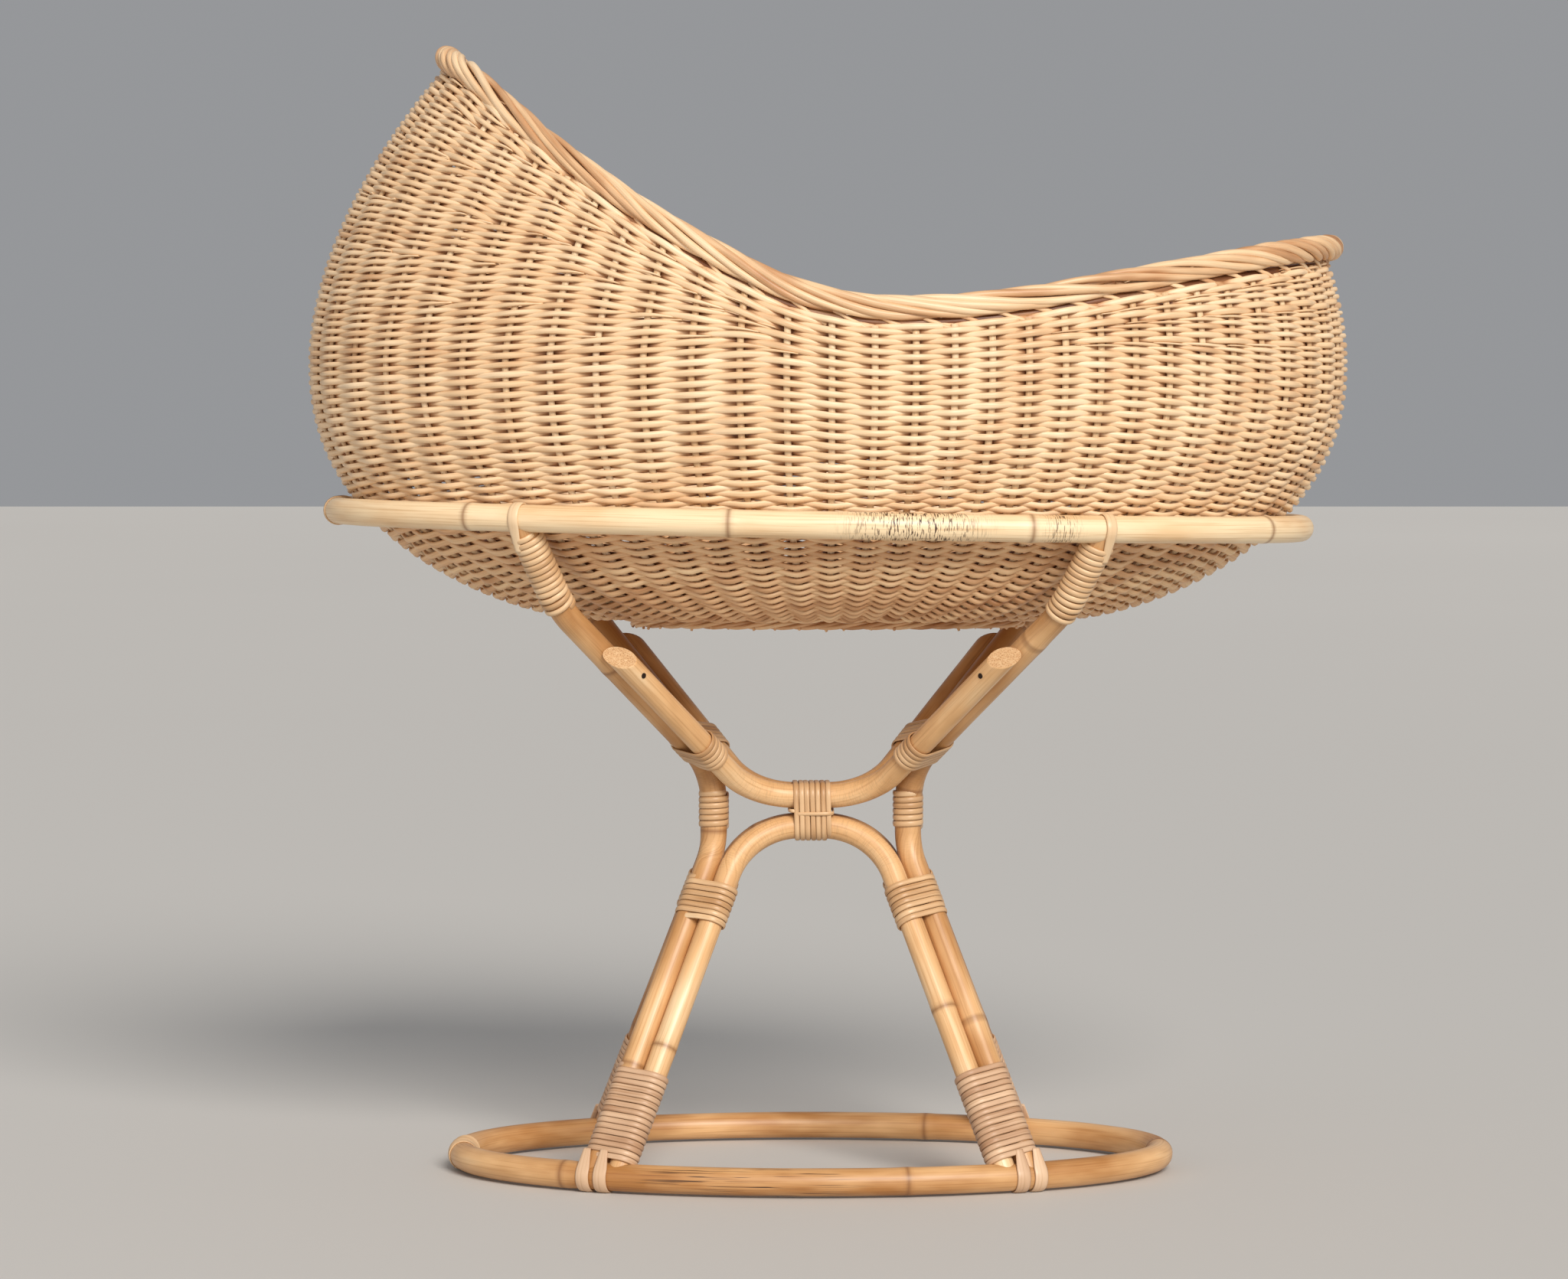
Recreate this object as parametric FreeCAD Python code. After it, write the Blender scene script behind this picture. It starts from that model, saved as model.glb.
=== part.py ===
import FreeCAD, Part
import math
import os

# A wicker cradle: a woven basket with a high head end that drops into the hoop of a bound cane stand.
# Millimetres, +Z up, -Y the front, -X the head end, origin on the floor under the middle of the basket.

Vector = FreeCAD.Vector
upright = Vector(0, 0, 1)

# Clearances: pieces that touch on the real cradle stand this far apart, cuts run this far past
contact_gap = 0.3
brace_gap = 0.5
seat_gap = 0.4
overrun = 5.0
straight_turn = 1e-6

# Canes of the stand
leg_diameter = 22.0
brace_diameter = 20.6
arch_diameter = 20.5
support_hoop_diameter = 22.5
base_hoop_diameter = 23.0

# Peel and thread that bind the canes
peel_diameter = 3.6
peel_pitch = 5.1
centre_pitch = 4.4
lash_diameter = 2.6
lash_pitch = 3.2
lash_corner_radius = 5.0
thread_diameter = 1.3
thread_pitch = 2.0
strap_width = 6.0
strap_thickness = 2.0
strap_show = 8.0
floor_flat_depth = 0.5

# Turns of each binding
head_coil_turns = 12
upper_binding_turns = 5
waist_binding_turns = 6
centre_binding_turns = 7
lower_binding_turns = 7
foot_binding_turns = 14
hoop_joint_turns = 24
base_joint_turns = 18

# Stand: hoops and the four legs between them
stand_axis_x = -14.0
support_hoop_height = 557.0
hoop_drop_share = 0.0187
base_hoop_half_length = 298.5
base_hoop_half_width = 164.5
foot_spread = 182.0
waist_spread = 83.0
knee_spread = 206.6
head_spread = 239.0
waist_low = 275.0
waist_high = 343.0
knee_drop = 71.0
knee_reach_share = 0.85
cope_share = 0.35
lower_bend_radius = 60.0
waist_bend_radius = 60.0
knee_bend_radius = 80.0
upper_binding_reach = 40.0
lower_binding_reach = 50.0

# Braces above the waist and arches below it
brace_crown_height = 321.0
brace_bend_radius = 66.0
brace_end_gap = 20.0
brace_lead_angle = math.radians(35)
brace_cut_shares = (0.2, 0.75, 0.63)
arch_crown_height = 294.6
arch_bend_radius = 64.0

# Nails that hold the canes before they are bound
nail_diameter = 1.8
nail_head_diameter = 4.4
nail_head_thickness = 1.0
nail_sink = 1.4
nail_gap = 0.1
nail_bite = 14.0
brace_nail_setback = 24.0

# Basket: base, wall, wale under the base and the plaited border's space
basket_drop = 85.0
base_half_length = 212.0
base_half_width = 114.0
base_thickness = 10.0
bulge_rise = 218.0
bulge_half_length = 443.0
bulge_half_width = 250.0
head_rise = 257.0
head_lean = 121.0
side_lean = 95.0
wall_thickness = 9.0
wale_diameter = 6.0
wale_inset = 47.0
bilge_share = 2.3
round_share = 1.5
lean_share = 1.85
lower_level_shares = (0, 0.015, 0.04, 0.08, 0.14, 0.22, 0.34, 0.5, 0.72, 1)
upper_level_shares = (0.15, 0.3, 0.45, 0.6, 0.75, 0.9, 1.06)

# Weave: the wall is ridged over each stake and hollow between two, and the stakes fan out at the head
foot_stake_gap = 31.0
head_stake_gap = 40.0
gap_change_shares = (0.25, -0.2)
weave_relief = 3.4
ridge_share = 0.34
hollow_share = 0.12
relief_start_share = 0.3
fan_angle = math.radians(8.6)
fan_share = 1.3
stake_steps = 400

# Border: its centreline seen from the front is a foot run, two arcs at the dip and an arc up to the head
rim_diameter = 20.0
rim_low_x = 54.0
rim_low_rise = 175.0
rim_foot_radius = 700.0
rim_foot_angle = math.radians(10.5)
rim_dip_radius = 254.0
rim_dip_angle = math.radians(26.6)
rim_head_radius = 936.0
rim_stations = 32
oval_stations = 16
gap_points_per_turn = 24

# Sizes that follow from those above
leg_radius = leg_diameter / 2
brace_radius = brace_diameter / 2
arch_radius = arch_diameter / 2
support_hoop_radius = support_hoop_diameter / 2
base_hoop_radius = base_hoop_diameter / 2
rim_radius = rim_diameter / 2
peel_radius = peel_diameter / 2
head_strap_radius = max(support_hoop_radius, leg_radius) + contact_gap
foot_strap_radius = max(base_hoop_radius, leg_radius, arch_radius) + contact_gap
base_hoop_height = foot_strap_radius + strap_thickness - floor_flat_depth
waist_depth = leg_radius + contact_gap / 2
brace_depth = brace_radius + contact_gap / 2
arch_depth = arch_radius + contact_gap / 2
base_underside = support_hoop_height - basket_drop
bulge_height = base_underside + bulge_rise
rim_low_height = support_hoop_height + rim_low_rise
sides = {"left": -1, "right": 1}
faces = {"front": -1, "back": 1}


def unit(vector):
    """The direction of a vector."""
    return vector / vector.Length


def export(name, shape):
    """Write one piece as its own file."""
    shape.exportStep(os.path.join("parts", name + ".step"))


# Curves made of straight runs and tangent arcs
def arc_by_corner(start, corner, end):
    """The arc that leaves start towards corner and comes to end from it, or a line where it is straight."""
    turn = (corner - start).getAngle(end - corner)
    if turn < straight_turn:
        return Part.LineSegment(start, end).toShape()
    middle = (start + end) / 2
    rise_share = math.tan(turn / 4) / math.tan(turn / 2)
    return Part.Arc(start, middle + (corner - middle) * rise_share, end).toShape()


def biarc(start, leaving, end, arriving):
    """Two tangent arcs from start to end with the given directions there."""
    span = end - start
    both = leaving + arriving
    square = 2 * (1 - leaving.dot(arriving))
    linear = 2 * span.dot(both)
    reach = 2 * span.dot(span) / (linear + math.sqrt(linear ** 2 + 4 * square * span.dot(span)))
    first_corner = start + leaving * reach
    second_corner = end - arriving * reach
    joint = (first_corner + second_corner) / 2
    return [arc_by_corner(start, first_corner, joint), arc_by_corner(joint, second_corner, end)]


def smooth_path(places, headings):
    """Biarcs through places in order, with a heading at each."""
    edges = []
    for index in range(len(places) - 1):
        edges += biarc(places[index], headings[index], places[index + 1], headings[index + 1])
    return Part.Wire(edges)


def bent_path(points, radii):
    """Straight runs from point to point, with a tangent arc of the given radius at each inner point."""
    edges = []
    here = points[0]
    for before, corner, after, radius in zip(points, points[1:], points[2:], radii):
        arriving = unit(corner - before)
        leaving = unit(after - corner)
        setback = radius * math.tan(arriving.getAngle(leaving) / 2)
        arc_end = corner + leaving * setback
        edges.append(Part.LineSegment(here, corner - arriving * setback).toShape())
        edges.append(arc_by_corner(corner - arriving * setback, corner, arc_end))
        here = arc_end
    edges.append(Part.LineSegment(here, points[-1]).toShape())
    return Part.Wire(edges)


def tube(path, diameter):
    """A round cane, peel or thread along a path."""
    first = path.OrderedEdges[0]
    start = first.valueAt(first.FirstParameter)
    heading = first.tangentAt(first.FirstParameter)
    section = Part.Wire(Part.makeCircle(diameter / 2, start, heading))
    return path.makePipeShell([section], True, False)


def rod(start, direction, length, diameter):
    """A straight round piece."""
    return Part.makeCylinder(diameter / 2, length, start, direction)


# Ovals of the hoops
def oval_depth(half_length, half_width, x):
    """How far an oval reaches to the front or back at x from its middle."""
    return half_width * math.sqrt(1 - (x / half_length) ** 2)


def oval_place(oval, angle):
    """A place on an oval, which drops by a share of its length towards the foot end."""
    centre, half_length, half_width, drop_share = oval
    x = half_length * math.cos(angle)
    return centre + Vector(x, half_width * math.sin(angle), -x * drop_share)


def oval_heading(oval, place):
    """The oval's direction at a place on it."""
    centre, half_length, half_width, drop_share = oval
    local = place - centre
    along = -local.y * half_length / half_width
    return unit(Vector(along, local.x * half_width / half_length, -along * drop_share))


def oval_path(oval):
    """A closed oval of biarcs."""
    places = []
    headings = []
    for station in range(oval_stations + 1):
        place = oval_place(oval, 2 * math.pi * (station % oval_stations) / oval_stations)
        places.append(place)
        headings.append(oval_heading(oval, place))
    return smooth_path(places, headings)


# Windings
def loop_stations(half_across, half_deep, corner_radius):
    """Places and directions round a rounded rectangle with the way to each, and the whole way round."""
    flat_across = half_across - corner_radius
    flat_deep = half_deep - corner_radius
    bend = math.pi * corner_radius / 2
    runs = (
        (-flat_across, -half_deep, 1, 0, 2 * flat_across),
        (half_across, -flat_deep, 0, 1, 2 * flat_deep),
        (flat_across, half_deep, -1, 0, 2 * flat_across),
        (-half_across, flat_deep, 0, -1, 2 * flat_deep),
    )
    stations = []
    travelled = 0
    for across, deep, heads_across, heads_deep, length in runs:
        has_run = length > straight_turn
        if has_run or heads_across:
            stations.append((across, deep, heads_across, heads_deep, travelled))
        travelled += length
        if has_run:
            end_across = across + heads_across * length
            end_deep = deep + heads_deep * length
            stations.append((end_across, end_deep, heads_across, heads_deep, travelled))
        travelled += bend
    return stations, travelled


def least_gap(path, turns, diameter):
    """The least clear space between neighbouring turns, measured on points along the path."""
    points = path.discretize(Number=turns * gap_points_per_turn + 1)
    nearest = math.inf
    for index, point in enumerate(points):
        first = index + gap_points_per_turn // 2
        last = index + 2 * gap_points_per_turn
        for other in points[first:last]:
            nearest = min(nearest, point.distanceToPoint(other))
    return nearest - diameter


def wind(name, centre, axis, across, half_across, half_deep, corner_radius, turns, pitch, diameter):
    """One strand wound round a rounded rectangle that stands square to axis."""
    deep = axis.cross(across)
    stations, way_round = loop_stations(half_across, half_deep, corner_radius)
    places = []
    headings = []
    for turn in range(turns):
        for place_across, place_deep, heads_across, heads_deep, travelled in stations:
            climbed = pitch * (turn + travelled / way_round - turns / 2)
            places.append(centre + across * place_across + deep * place_deep + axis * climbed)
            headings.append(unit(across * heads_across + deep * heads_deep + axis * (pitch / way_round)))
    places.append(places[0] + axis * (pitch * turns))
    headings.append(headings[0])
    path = smooth_path(places, headings)
    print(name, "least gap between turns", round(least_gap(path, turns, diameter), 2))
    export(name, tube(path, diameter))


def wind_pair(name, first_run, second_run, reach, radius, turns):
    """Peel wound round two canes whose straight runs start at given points, from reach along them."""
    starts = (first_run[0], second_run[0])
    directions = (first_run[1], second_run[1])
    axis = unit(directions[0] + directions[1])
    origin = (starts[0] + starts[1]) / 2
    middle = origin + axis * reach
    half_length = turns * peel_pitch / 2

    def cane_at(number, way):
        run = (middle + axis * way - starts[number]).dot(axis) / directions[number].dot(axis)
        return starts[number] + directions[number] * run - axis * way

    apart = cane_at(1, 0) - cane_at(0, 0)
    across = unit(apart)
    deep = axis.cross(across)
    centre = (cane_at(1, 0) + cane_at(0, 0)) / 2
    half_span = 0
    misfit = 0
    for number in (0, 1):
        for way in (-half_length, half_length):
            off = cane_at(number, way) - centre
            half_span = max(half_span, abs(off.dot(across)))
            misfit = max(misfit, abs(off.dot(deep)))
    bend = radius + contact_gap + peel_radius + misfit
    wind(name, centre, axis, across, half_span + bend, bend, bend, turns, peel_pitch, peel_diameter)


def wind_cane(name, axis_at, plane_normal, cane_radius, turns, pitch, diameter):
    """One strand wound round a single cane, whose axis_at gives a point and a direction at a distance."""
    bend = cane_radius + contact_gap + diameter / 2

    def place(turn):
        point, heading = axis_at(pitch * turn)
        angle = 2 * math.pi * turn
        spoke = plane_normal * math.sin(angle) + heading.cross(plane_normal) * math.cos(angle)
        return point + spoke * bend

    step = 1 / gap_points_per_turn ** 2
    places = []
    headings = []
    for half_turn in range(2 * turns + 1):
        turn = half_turn / 2
        places.append(place(turn))
        headings.append(unit(place(turn + step) - place(turn - step)))
    path = smooth_path(places, headings)
    print(name, "least gap between turns", round(least_gap(path, turns, diameter), 2))
    export(name, tube(path, diameter))


def wind_hoop(name, oval, hoop_radius, turns):
    """Thread wound over the joint at the head end of an oval hoop."""
    _, _, half_width, _ = oval

    def axis_at(distance):
        place = oval_place(oval, math.pi + (distance - turns * thread_pitch / 2) / half_width)
        return place, oval_heading(oval, place)

    wind_cane(name, axis_at, upright, hoop_radius, turns, thread_pitch, thread_diameter)


def wind_leg_head(name, leg, start):
    """Peel wound round a leg's head, from start below the hoop and on round the knee's bend."""
    waist, knee, head = leg[2:5]
    downward = unit(knee - head)
    onward = unit(waist - knee)
    turn = downward.getAngle(onward)
    straight = (knee - head).Length - knee_bend_radius * math.tan(turn / 2)
    inward = unit(onward - downward * onward.dot(downward))
    centre = head + downward * straight + inward * knee_bend_radius

    def axis_at(distance):
        way = start + distance
        if way < straight:
            return head + downward * way, downward
        angle = (way - straight) / knee_bend_radius
        spoke = downward * math.sin(angle) - inward * math.cos(angle)
        return centre + spoke * knee_bend_radius, downward * math.cos(angle) + inward * math.sin(angle)

    normal = unit(downward.cross(onward))
    wind_cane(name, axis_at, normal, leg_radius, head_coil_turns, peel_pitch, peel_diameter)


# Straps and nails
def strap(centre, along, pull, inner_radius, tail):
    """A flat peel strap bent round a hoop on the side that pull points to, with two tails the other way."""
    pull = unit(pull - along * pull.dot(along))
    aside = along.cross(pull)
    outer_radius = inner_radius + strap_thickness
    corner = centre - along * (strap_width / 2)

    def at(forward, sideways):
        return corner + pull * forward + aside * sideways

    outline = [
        Part.LineSegment(at(-tail, outer_radius), at(0, outer_radius)),
        Part.Arc(at(0, outer_radius), at(outer_radius, 0), at(0, -outer_radius)),
        Part.LineSegment(at(0, -outer_radius), at(-tail, -outer_radius)),
        Part.LineSegment(at(-tail, -outer_radius), at(-tail, -inner_radius)),
        Part.LineSegment(at(-tail, -inner_radius), at(0, -inner_radius)),
        Part.Arc(at(0, -inner_radius), at(inner_radius, 0), at(0, inner_radius)),
        Part.LineSegment(at(0, inner_radius), at(-tail, inner_radius)),
        Part.LineSegment(at(-tail, inner_radius), at(-tail, outer_radius)),
    ]
    face = Part.Face(Part.Wire([line.toShape() for line in outline]))
    return face.extrude(along * strap_width)


def nail_and_bore(cane_axis_point, direction, cane_radius):
    """A nail driven across one cane into the next, sunk below the surface, and the hole that it fills."""
    head_top = cane_axis_point - direction * (cane_radius - nail_sink)
    neck = head_top + direction * nail_head_thickness
    shank = 2 * cane_radius + nail_bite
    nail = rod(head_top, direction, nail_head_thickness, nail_head_diameter)
    nail = nail.fuse(rod(neck, direction, shank, nail_diameter)).removeSplitter()
    mouth = cane_axis_point - direction * (cane_radius + overrun)
    mouth_length = (neck - mouth).dot(direction) + nail_gap
    bore = rod(mouth, direction, mouth_length, nail_head_diameter + 2 * nail_gap)
    bore = bore.fuse(rod(neck, direction, shank + nail_gap, nail_diameter + 2 * nail_gap))
    return nail, bore


# Basket form: level ovals that swell from the base to the bulge and lean in above it
def swell(height):
    """How much of the way from the base's edge to the bulge the wall has gone at a height."""
    left = 1 - (height - base_underside) / bulge_rise
    return (1 - left ** bilge_share) ** (1 / round_share)


def lean(height):
    """How much of its full lean the wall has at a height above the bulge."""
    return ((height - bulge_height) / head_rise) ** lean_share


def wall_half_length(height):
    """Half the basket's outer length at a height."""
    if height < bulge_height:
        return base_half_length + (bulge_half_length - base_half_length) * swell(height)
    return bulge_half_length - head_lean * lean(height)


def wall_half_width(height):
    """Half the basket's outer width at a height."""
    if height < bulge_height:
        return base_half_width + (bulge_half_width - base_half_width) * swell(height)
    return bulge_half_width - side_lean * lean(height)


def slope(profile, height):
    """How far a wall profile moves out for each step up."""
    step = contact_gap / 2
    return (profile(height + step) - profile(height - step)) / (2 * step)


def oval_wire(half_length, half_width, height):
    """A level ellipse round the basket's middle."""
    return Part.Wire(Part.Ellipse(Vector(0, 0, height), half_length, half_width).toShape())


def stakes_between(start, end):
    """Angles of the stakes from start up to end, closer together towards the foot end."""
    step = (end - start) / stake_steps
    first_share, last_share = gap_change_shares
    passed = [0]
    for number in range(stake_steps):
        angle = start + step * (number + 1 / 2)
        headward = (first_share - math.cos(angle)) / (first_share - last_share)
        gap = foot_stake_gap + (head_stake_gap - foot_stake_gap) * min(max(headward, 0), 1)
        run = math.hypot(bulge_half_length * math.sin(angle), bulge_half_width * math.cos(angle))
        passed.append(passed[-1] + run * step / gap)
    count = round(passed[-1])
    angles = []
    for number, (before, after) in enumerate(zip(passed, passed[1:])):
        wanted = passed[-1] * len(angles) / count
        if before <= wanted < after:
            angles.append(start + step * (number + (wanted - before) / (after - before)))
    return angles


def strap_angle(side):
    """The angle round the basket at which the straps of one side carry it."""
    return math.acos((stand_axis_x + side * head_spread - support_centre.x) / support_half_length)


def stake_angles():
    """Angles of all stakes, with one at each strap."""
    foot_turn = strap_angle(1)
    head_turn = strap_angle(-1)
    corners = (-foot_turn, foot_turn, head_turn, 2 * math.pi - head_turn, 2 * math.pi - foot_turn)
    angles = []
    for start, end in zip(corners, corners[1:]):
        angles += stakes_between(start, end)
    return angles


def fanned(angle, level):
    """A stake's angle at a level. Above the bulge the stakes of the head end spread out."""
    risen = max(level - bulge_height, 0) / head_rise
    headward = math.cos(angle) < 0
    return angle + headward * fan_angle * risen ** fan_share * math.sin(2 * angle)


def hollow_depth(profile, start, level):
    """How far inside a profile of the wall the hollows lie at a level. They begin at the base's edge."""
    grown = profile(level) - start
    if grown < contact_gap:
        return 0
    return min(weave_relief * math.hypot(1, slope(profile, level)), grown * relief_start_share)


def woven_wire(angles, level):
    """A level section of the wall with a ridge over each stake and a hollow between two."""
    half_length = wall_half_length(level)
    half_width = wall_half_width(level)
    long_depth = hollow_depth(wall_half_length, base_half_length, level)
    wide_depth = hollow_depth(wall_half_width, base_half_width, level)
    ridge_end = ridge_share / 2
    hollow_end = (1 - hollow_share) / 2
    turns = ((ridge_end, 0), (hollow_end, 1), (1 - hollow_end, 1), (1 - ridge_end, 0))
    points = []
    for stake, following in zip(angles, angles[1:] + [angles[0] + 2 * math.pi]):
        for share, sunk in turns:
            angle = fanned(stake + (following - stake) * share, level)
            x = (half_length - sunk * long_depth) * math.cos(angle)
            points.append(Vector(x, (half_width - sunk * wide_depth) * math.sin(angle), level))
    return Part.makePolygon(points + points[:1])


def rim_height(x, drop):
    """The border line's height at x, or the height of the line that runs drop under it."""
    low = rim_low_height - drop
    if x >= rim_low_x:
        radius = rim_foot_radius + drop
        way = x - rim_low_x
        arc_reach = radius * math.sin(rim_foot_angle)
        if way < arc_reach:
            return low + radius - math.sqrt(radius ** 2 - way ** 2)
        arc_rise = radius * (1 - math.cos(rim_foot_angle))
        return low + arc_rise + (way - arc_reach) * math.tan(rim_foot_angle)
    radius = rim_dip_radius + drop
    way = rim_low_x - x
    arc_reach = radius * math.sin(rim_dip_angle)
    if way < arc_reach:
        return low + radius - math.sqrt(radius ** 2 - way ** 2)
    head_radius = rim_head_radius + drop
    head_way = way - arc_reach + head_radius * math.sin(rim_dip_angle)
    arc_rise = radius * (1 - math.cos(rim_dip_angle))
    head_rise_above = head_radius * math.cos(rim_dip_angle) - math.sqrt(head_radius ** 2 - head_way ** 2)
    return low + arc_rise + head_rise_above


def rim_place(angle):
    """The border's centreline over the middle of the wall, at an angle round the basket."""
    height = rim_low_height
    for _ in range(60):
        middle = wall_half_length(height) - wall_thickness / 2
        height = (height + rim_height(middle * math.cos(angle), 0)) / 2
    half_length = wall_half_length(height) - wall_thickness / 2
    half_width = wall_half_width(height) - wall_thickness / 2
    return Vector(half_length * math.cos(angle), half_width * math.sin(angle), height)


def make_basket():
    """Wall, base, wale and border, each clear of the next by the contact gap."""
    lower = [base_underside + bulge_rise * share for share in lower_level_shares]
    upper = [bulge_height + head_rise * share for share in upper_level_shares]
    levels = lower + upper
    angles = stake_angles()
    outer = [woven_wire(angles, level) for level in levels]
    wall = Part.makeLoft(outer, True, False)
    base_top = base_underside + base_thickness
    inner = []
    for level in [base_top] + [level for level in levels if level > base_top + base_thickness]:
        thick_end = wall_thickness * math.hypot(1, slope(wall_half_length, level))
        thick_side = wall_thickness * math.hypot(1, slope(wall_half_width, level))
        half_length = wall_half_length(level) - thick_end
        half_width = wall_half_width(level) - thick_side
        inner.append(oval_wire(max(half_length, base_half_length), max(half_width, base_half_width), level))
    wall = wall.cut(Part.makeLoft(inner, True, False))
    base_room = oval_wire(base_half_length + contact_gap, base_half_width + contact_gap, base_underside)
    wall = wall.cut(Part.Face(base_room).extrude(upright * base_thickness))
    wall = wall.cut(above_wall())
    export("basket_wall", wall)
    base = Part.Face(oval_wire(base_half_length, base_half_width, base_underside))
    export("basket_base", base.extrude(upright * base_thickness))
    export("basket_wale", tube(oval_path(wale_oval), wale_diameter))
    places = []
    headings = []
    for station in range(rim_stations + 1):
        angle = 2 * math.pi * (station % rim_stations) / rim_stations
        step = math.pi / rim_stations ** 2
        places.append(rim_place(angle))
        headings.append(unit(rim_place(angle + step) - rim_place(angle - step)))
    export("rim_border", tube(smooth_path(places, headings), rim_diameter))


def above_wall():
    """Everything above the line that the border sits on."""
    drop = rim_radius + contact_gap
    head_x = -bulge_half_length - overrun
    foot_x = bulge_half_length + overrun
    dip_x = rim_low_x - (rim_dip_radius + drop) * math.sin(rim_dip_angle)
    rise_x = rim_low_x + (rim_foot_radius + drop) * math.sin(rim_foot_angle)
    far_y = bulge_half_width + overrun
    top = rim_height(head_x, 0) + overrun

    def on_line(x):
        return Vector(x, -far_y, rim_height(x, drop))

    edges = []
    for start, end in ((head_x, dip_x), (dip_x, rim_low_x), (rim_low_x, rise_x)):
        edges.append(Part.Arc(on_line(start), on_line((start + end) / 2), on_line(end)).toShape())
    corners = [
        on_line(rise_x),
        on_line(foot_x),
        Vector(foot_x, -far_y, top),
        Vector(head_x, -far_y, top),
        on_line(head_x),
    ]
    for start, end in zip(corners, corners[1:]):
        edges.append(Part.LineSegment(start, end).toShape())
    return Part.Face(Part.Wire(edges)).extrude(Vector(0, 2 * far_y, 0))


# The wale runs under the base, in from its edge
wale_height = base_underside - contact_gap - wale_diameter / 2
wale_oval = (Vector(0, 0, wale_height), base_half_length - wale_inset, base_half_width - wale_inset, 0)
basket_underside = wale_height - wale_diameter / 2

# The support hoop stands off the wall by its own radius, a strap and the seat's gap. It drops towards the
# foot end, where the wall is narrower, so it sits further to the head end by as much as the wall draws in
hoop_offset = head_strap_radius + strap_thickness + seat_gap
hoop_end_slope = slope(wall_half_length, support_hoop_height)
hoop_side_slope = slope(wall_half_width, support_hoop_height)
support_half_length = wall_half_length(support_hoop_height) + hoop_offset * math.hypot(1, hoop_end_slope)
support_half_width = wall_half_width(support_hoop_height) + hoop_offset * math.hypot(1, hoop_side_slope)
support_shift = wall_half_length(support_hoop_height) * hoop_drop_share * hoop_end_slope
support_centre = Vector(-support_shift, 0, support_hoop_height)
support_oval = (support_centre, support_half_length, support_half_width, hoop_drop_share)
base_centre = Vector(stand_axis_x, 0, base_hoop_height)
base_oval = (base_centre, base_hoop_half_length, base_hoop_half_width, 0)


def hoop_point(x, face):
    """The support hoop's centreline at x, on the front or back."""
    local = x - support_centre.x
    depth = oval_depth(support_half_length, support_half_width, local)
    return support_centre + Vector(local, face * depth, -local * hoop_drop_share)


def base_point(spread, face):
    """The base hoop's centreline at a spread from the stand's axis, on the front or back."""
    depth = oval_depth(base_hoop_half_length, base_hoop_half_width, spread)
    return base_centre + Vector(spread, face * depth, 0)


def leg_points(side, face):
    """The five points of a leg from its foot to its head."""
    head = hoop_point(stand_axis_x + side * head_spread, face)
    knee_depth = waist_depth + (abs(head.y) - waist_depth) * knee_reach_share
    waist_x = stand_axis_x + side * waist_spread
    knee_x = stand_axis_x + side * knee_spread
    return [
        base_point(side * foot_spread, face),
        Vector(waist_x, face * waist_depth, waist_low),
        Vector(waist_x, face * waist_depth, waist_high),
        Vector(knee_x, face * knee_depth, support_hoop_height - knee_drop),
        head,
    ]


def arch_foot_spread():
    """How far out an arch stands on the base hoop, so that it lies along the leg beside it."""
    foot = base_point(foot_spread, -1)
    direction = unit(leg_points(1, -1)[1] - foot)
    wanted = leg_radius + arch_radius + contact_gap
    step = wanted
    for _ in range(20):
        apart = base_point(foot_spread - step, -1) - foot
        step *= wanted / apart.cross(direction).Length
    return foot_spread - step


arch_spread = arch_foot_spread()
leg_run_share = (foot_spread - waist_spread) / (waist_low - base_hoop_height)
arch_corner_spread = arch_spread - leg_run_share * (arch_crown_height - base_hoop_height)
brace_end_height = basket_underside - brace_end_gap


def arch_points(face):
    """The four points of an arch from its left foot to its right foot."""
    left_corner = Vector(stand_axis_x - arch_corner_spread, face * arch_depth, arch_crown_height)
    right_corner = Vector(stand_axis_x + arch_corner_spread, face * arch_depth, arch_crown_height)
    return [base_point(-arch_spread, face), left_corner, right_corner, base_point(arch_spread, face)]


def brace_arm(side, face):
    """The corner and the end of one arm of a brace, laid along the front of the leg on that side."""
    waist, knee = leg_points(side, face)[2:4]
    run = knee - waist
    rise = brace_end_height - waist.z
    beside_leg = waist + run * (rise / run.z)
    inward = Vector(-side, 0, 0)
    inward = unit(inward - unit(run) * inward.dot(unit(run)))
    forward = unit(run).cross(inward)
    if forward.y * face < 0:
        forward = -forward
    apart = leg_radius + brace_radius + brace_gap
    offset = inward * (apart * math.cos(brace_lead_angle)) + forward * (apart * math.sin(brace_lead_angle))
    passing = beside_leg + offset
    end = passing + run * ((brace_end_height - passing.z) / run.z)
    corner_x = end.x - run.x / run.z * (end.z - brace_crown_height)
    return Vector(corner_x, face * brace_depth, brace_crown_height), end


def sag(half_length, corner_spread, turn, bend_radius):
    """How far a bent cane leaves its crown line at half_length from the middle."""
    half_flat = corner_spread - bend_radius * math.tan(turn / 2)
    past = max(half_length - half_flat, 0)
    return past ** 2 / (2 * bend_radius)


def foot_straps(side, face, pull, tail):
    """Two straps that tie one foot to the base hoop, cut flat where they stand on the floor."""
    straps = []
    for spread in (foot_spread, (foot_spread + arch_spread) / 2):
        centre = base_point(side * spread, face)
        band = strap(centre, oval_heading(base_oval, centre), pull, foot_strap_radius, tail)
        reach = tail + foot_strap_radius + strap_thickness
        corner = Vector(centre.x - reach, centre.y - reach, -reach)
        straps.append(band.cut(Part.makeBox(2 * reach, 2 * reach, reach, corner)))
    return Part.makeCompound(straps)


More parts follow.
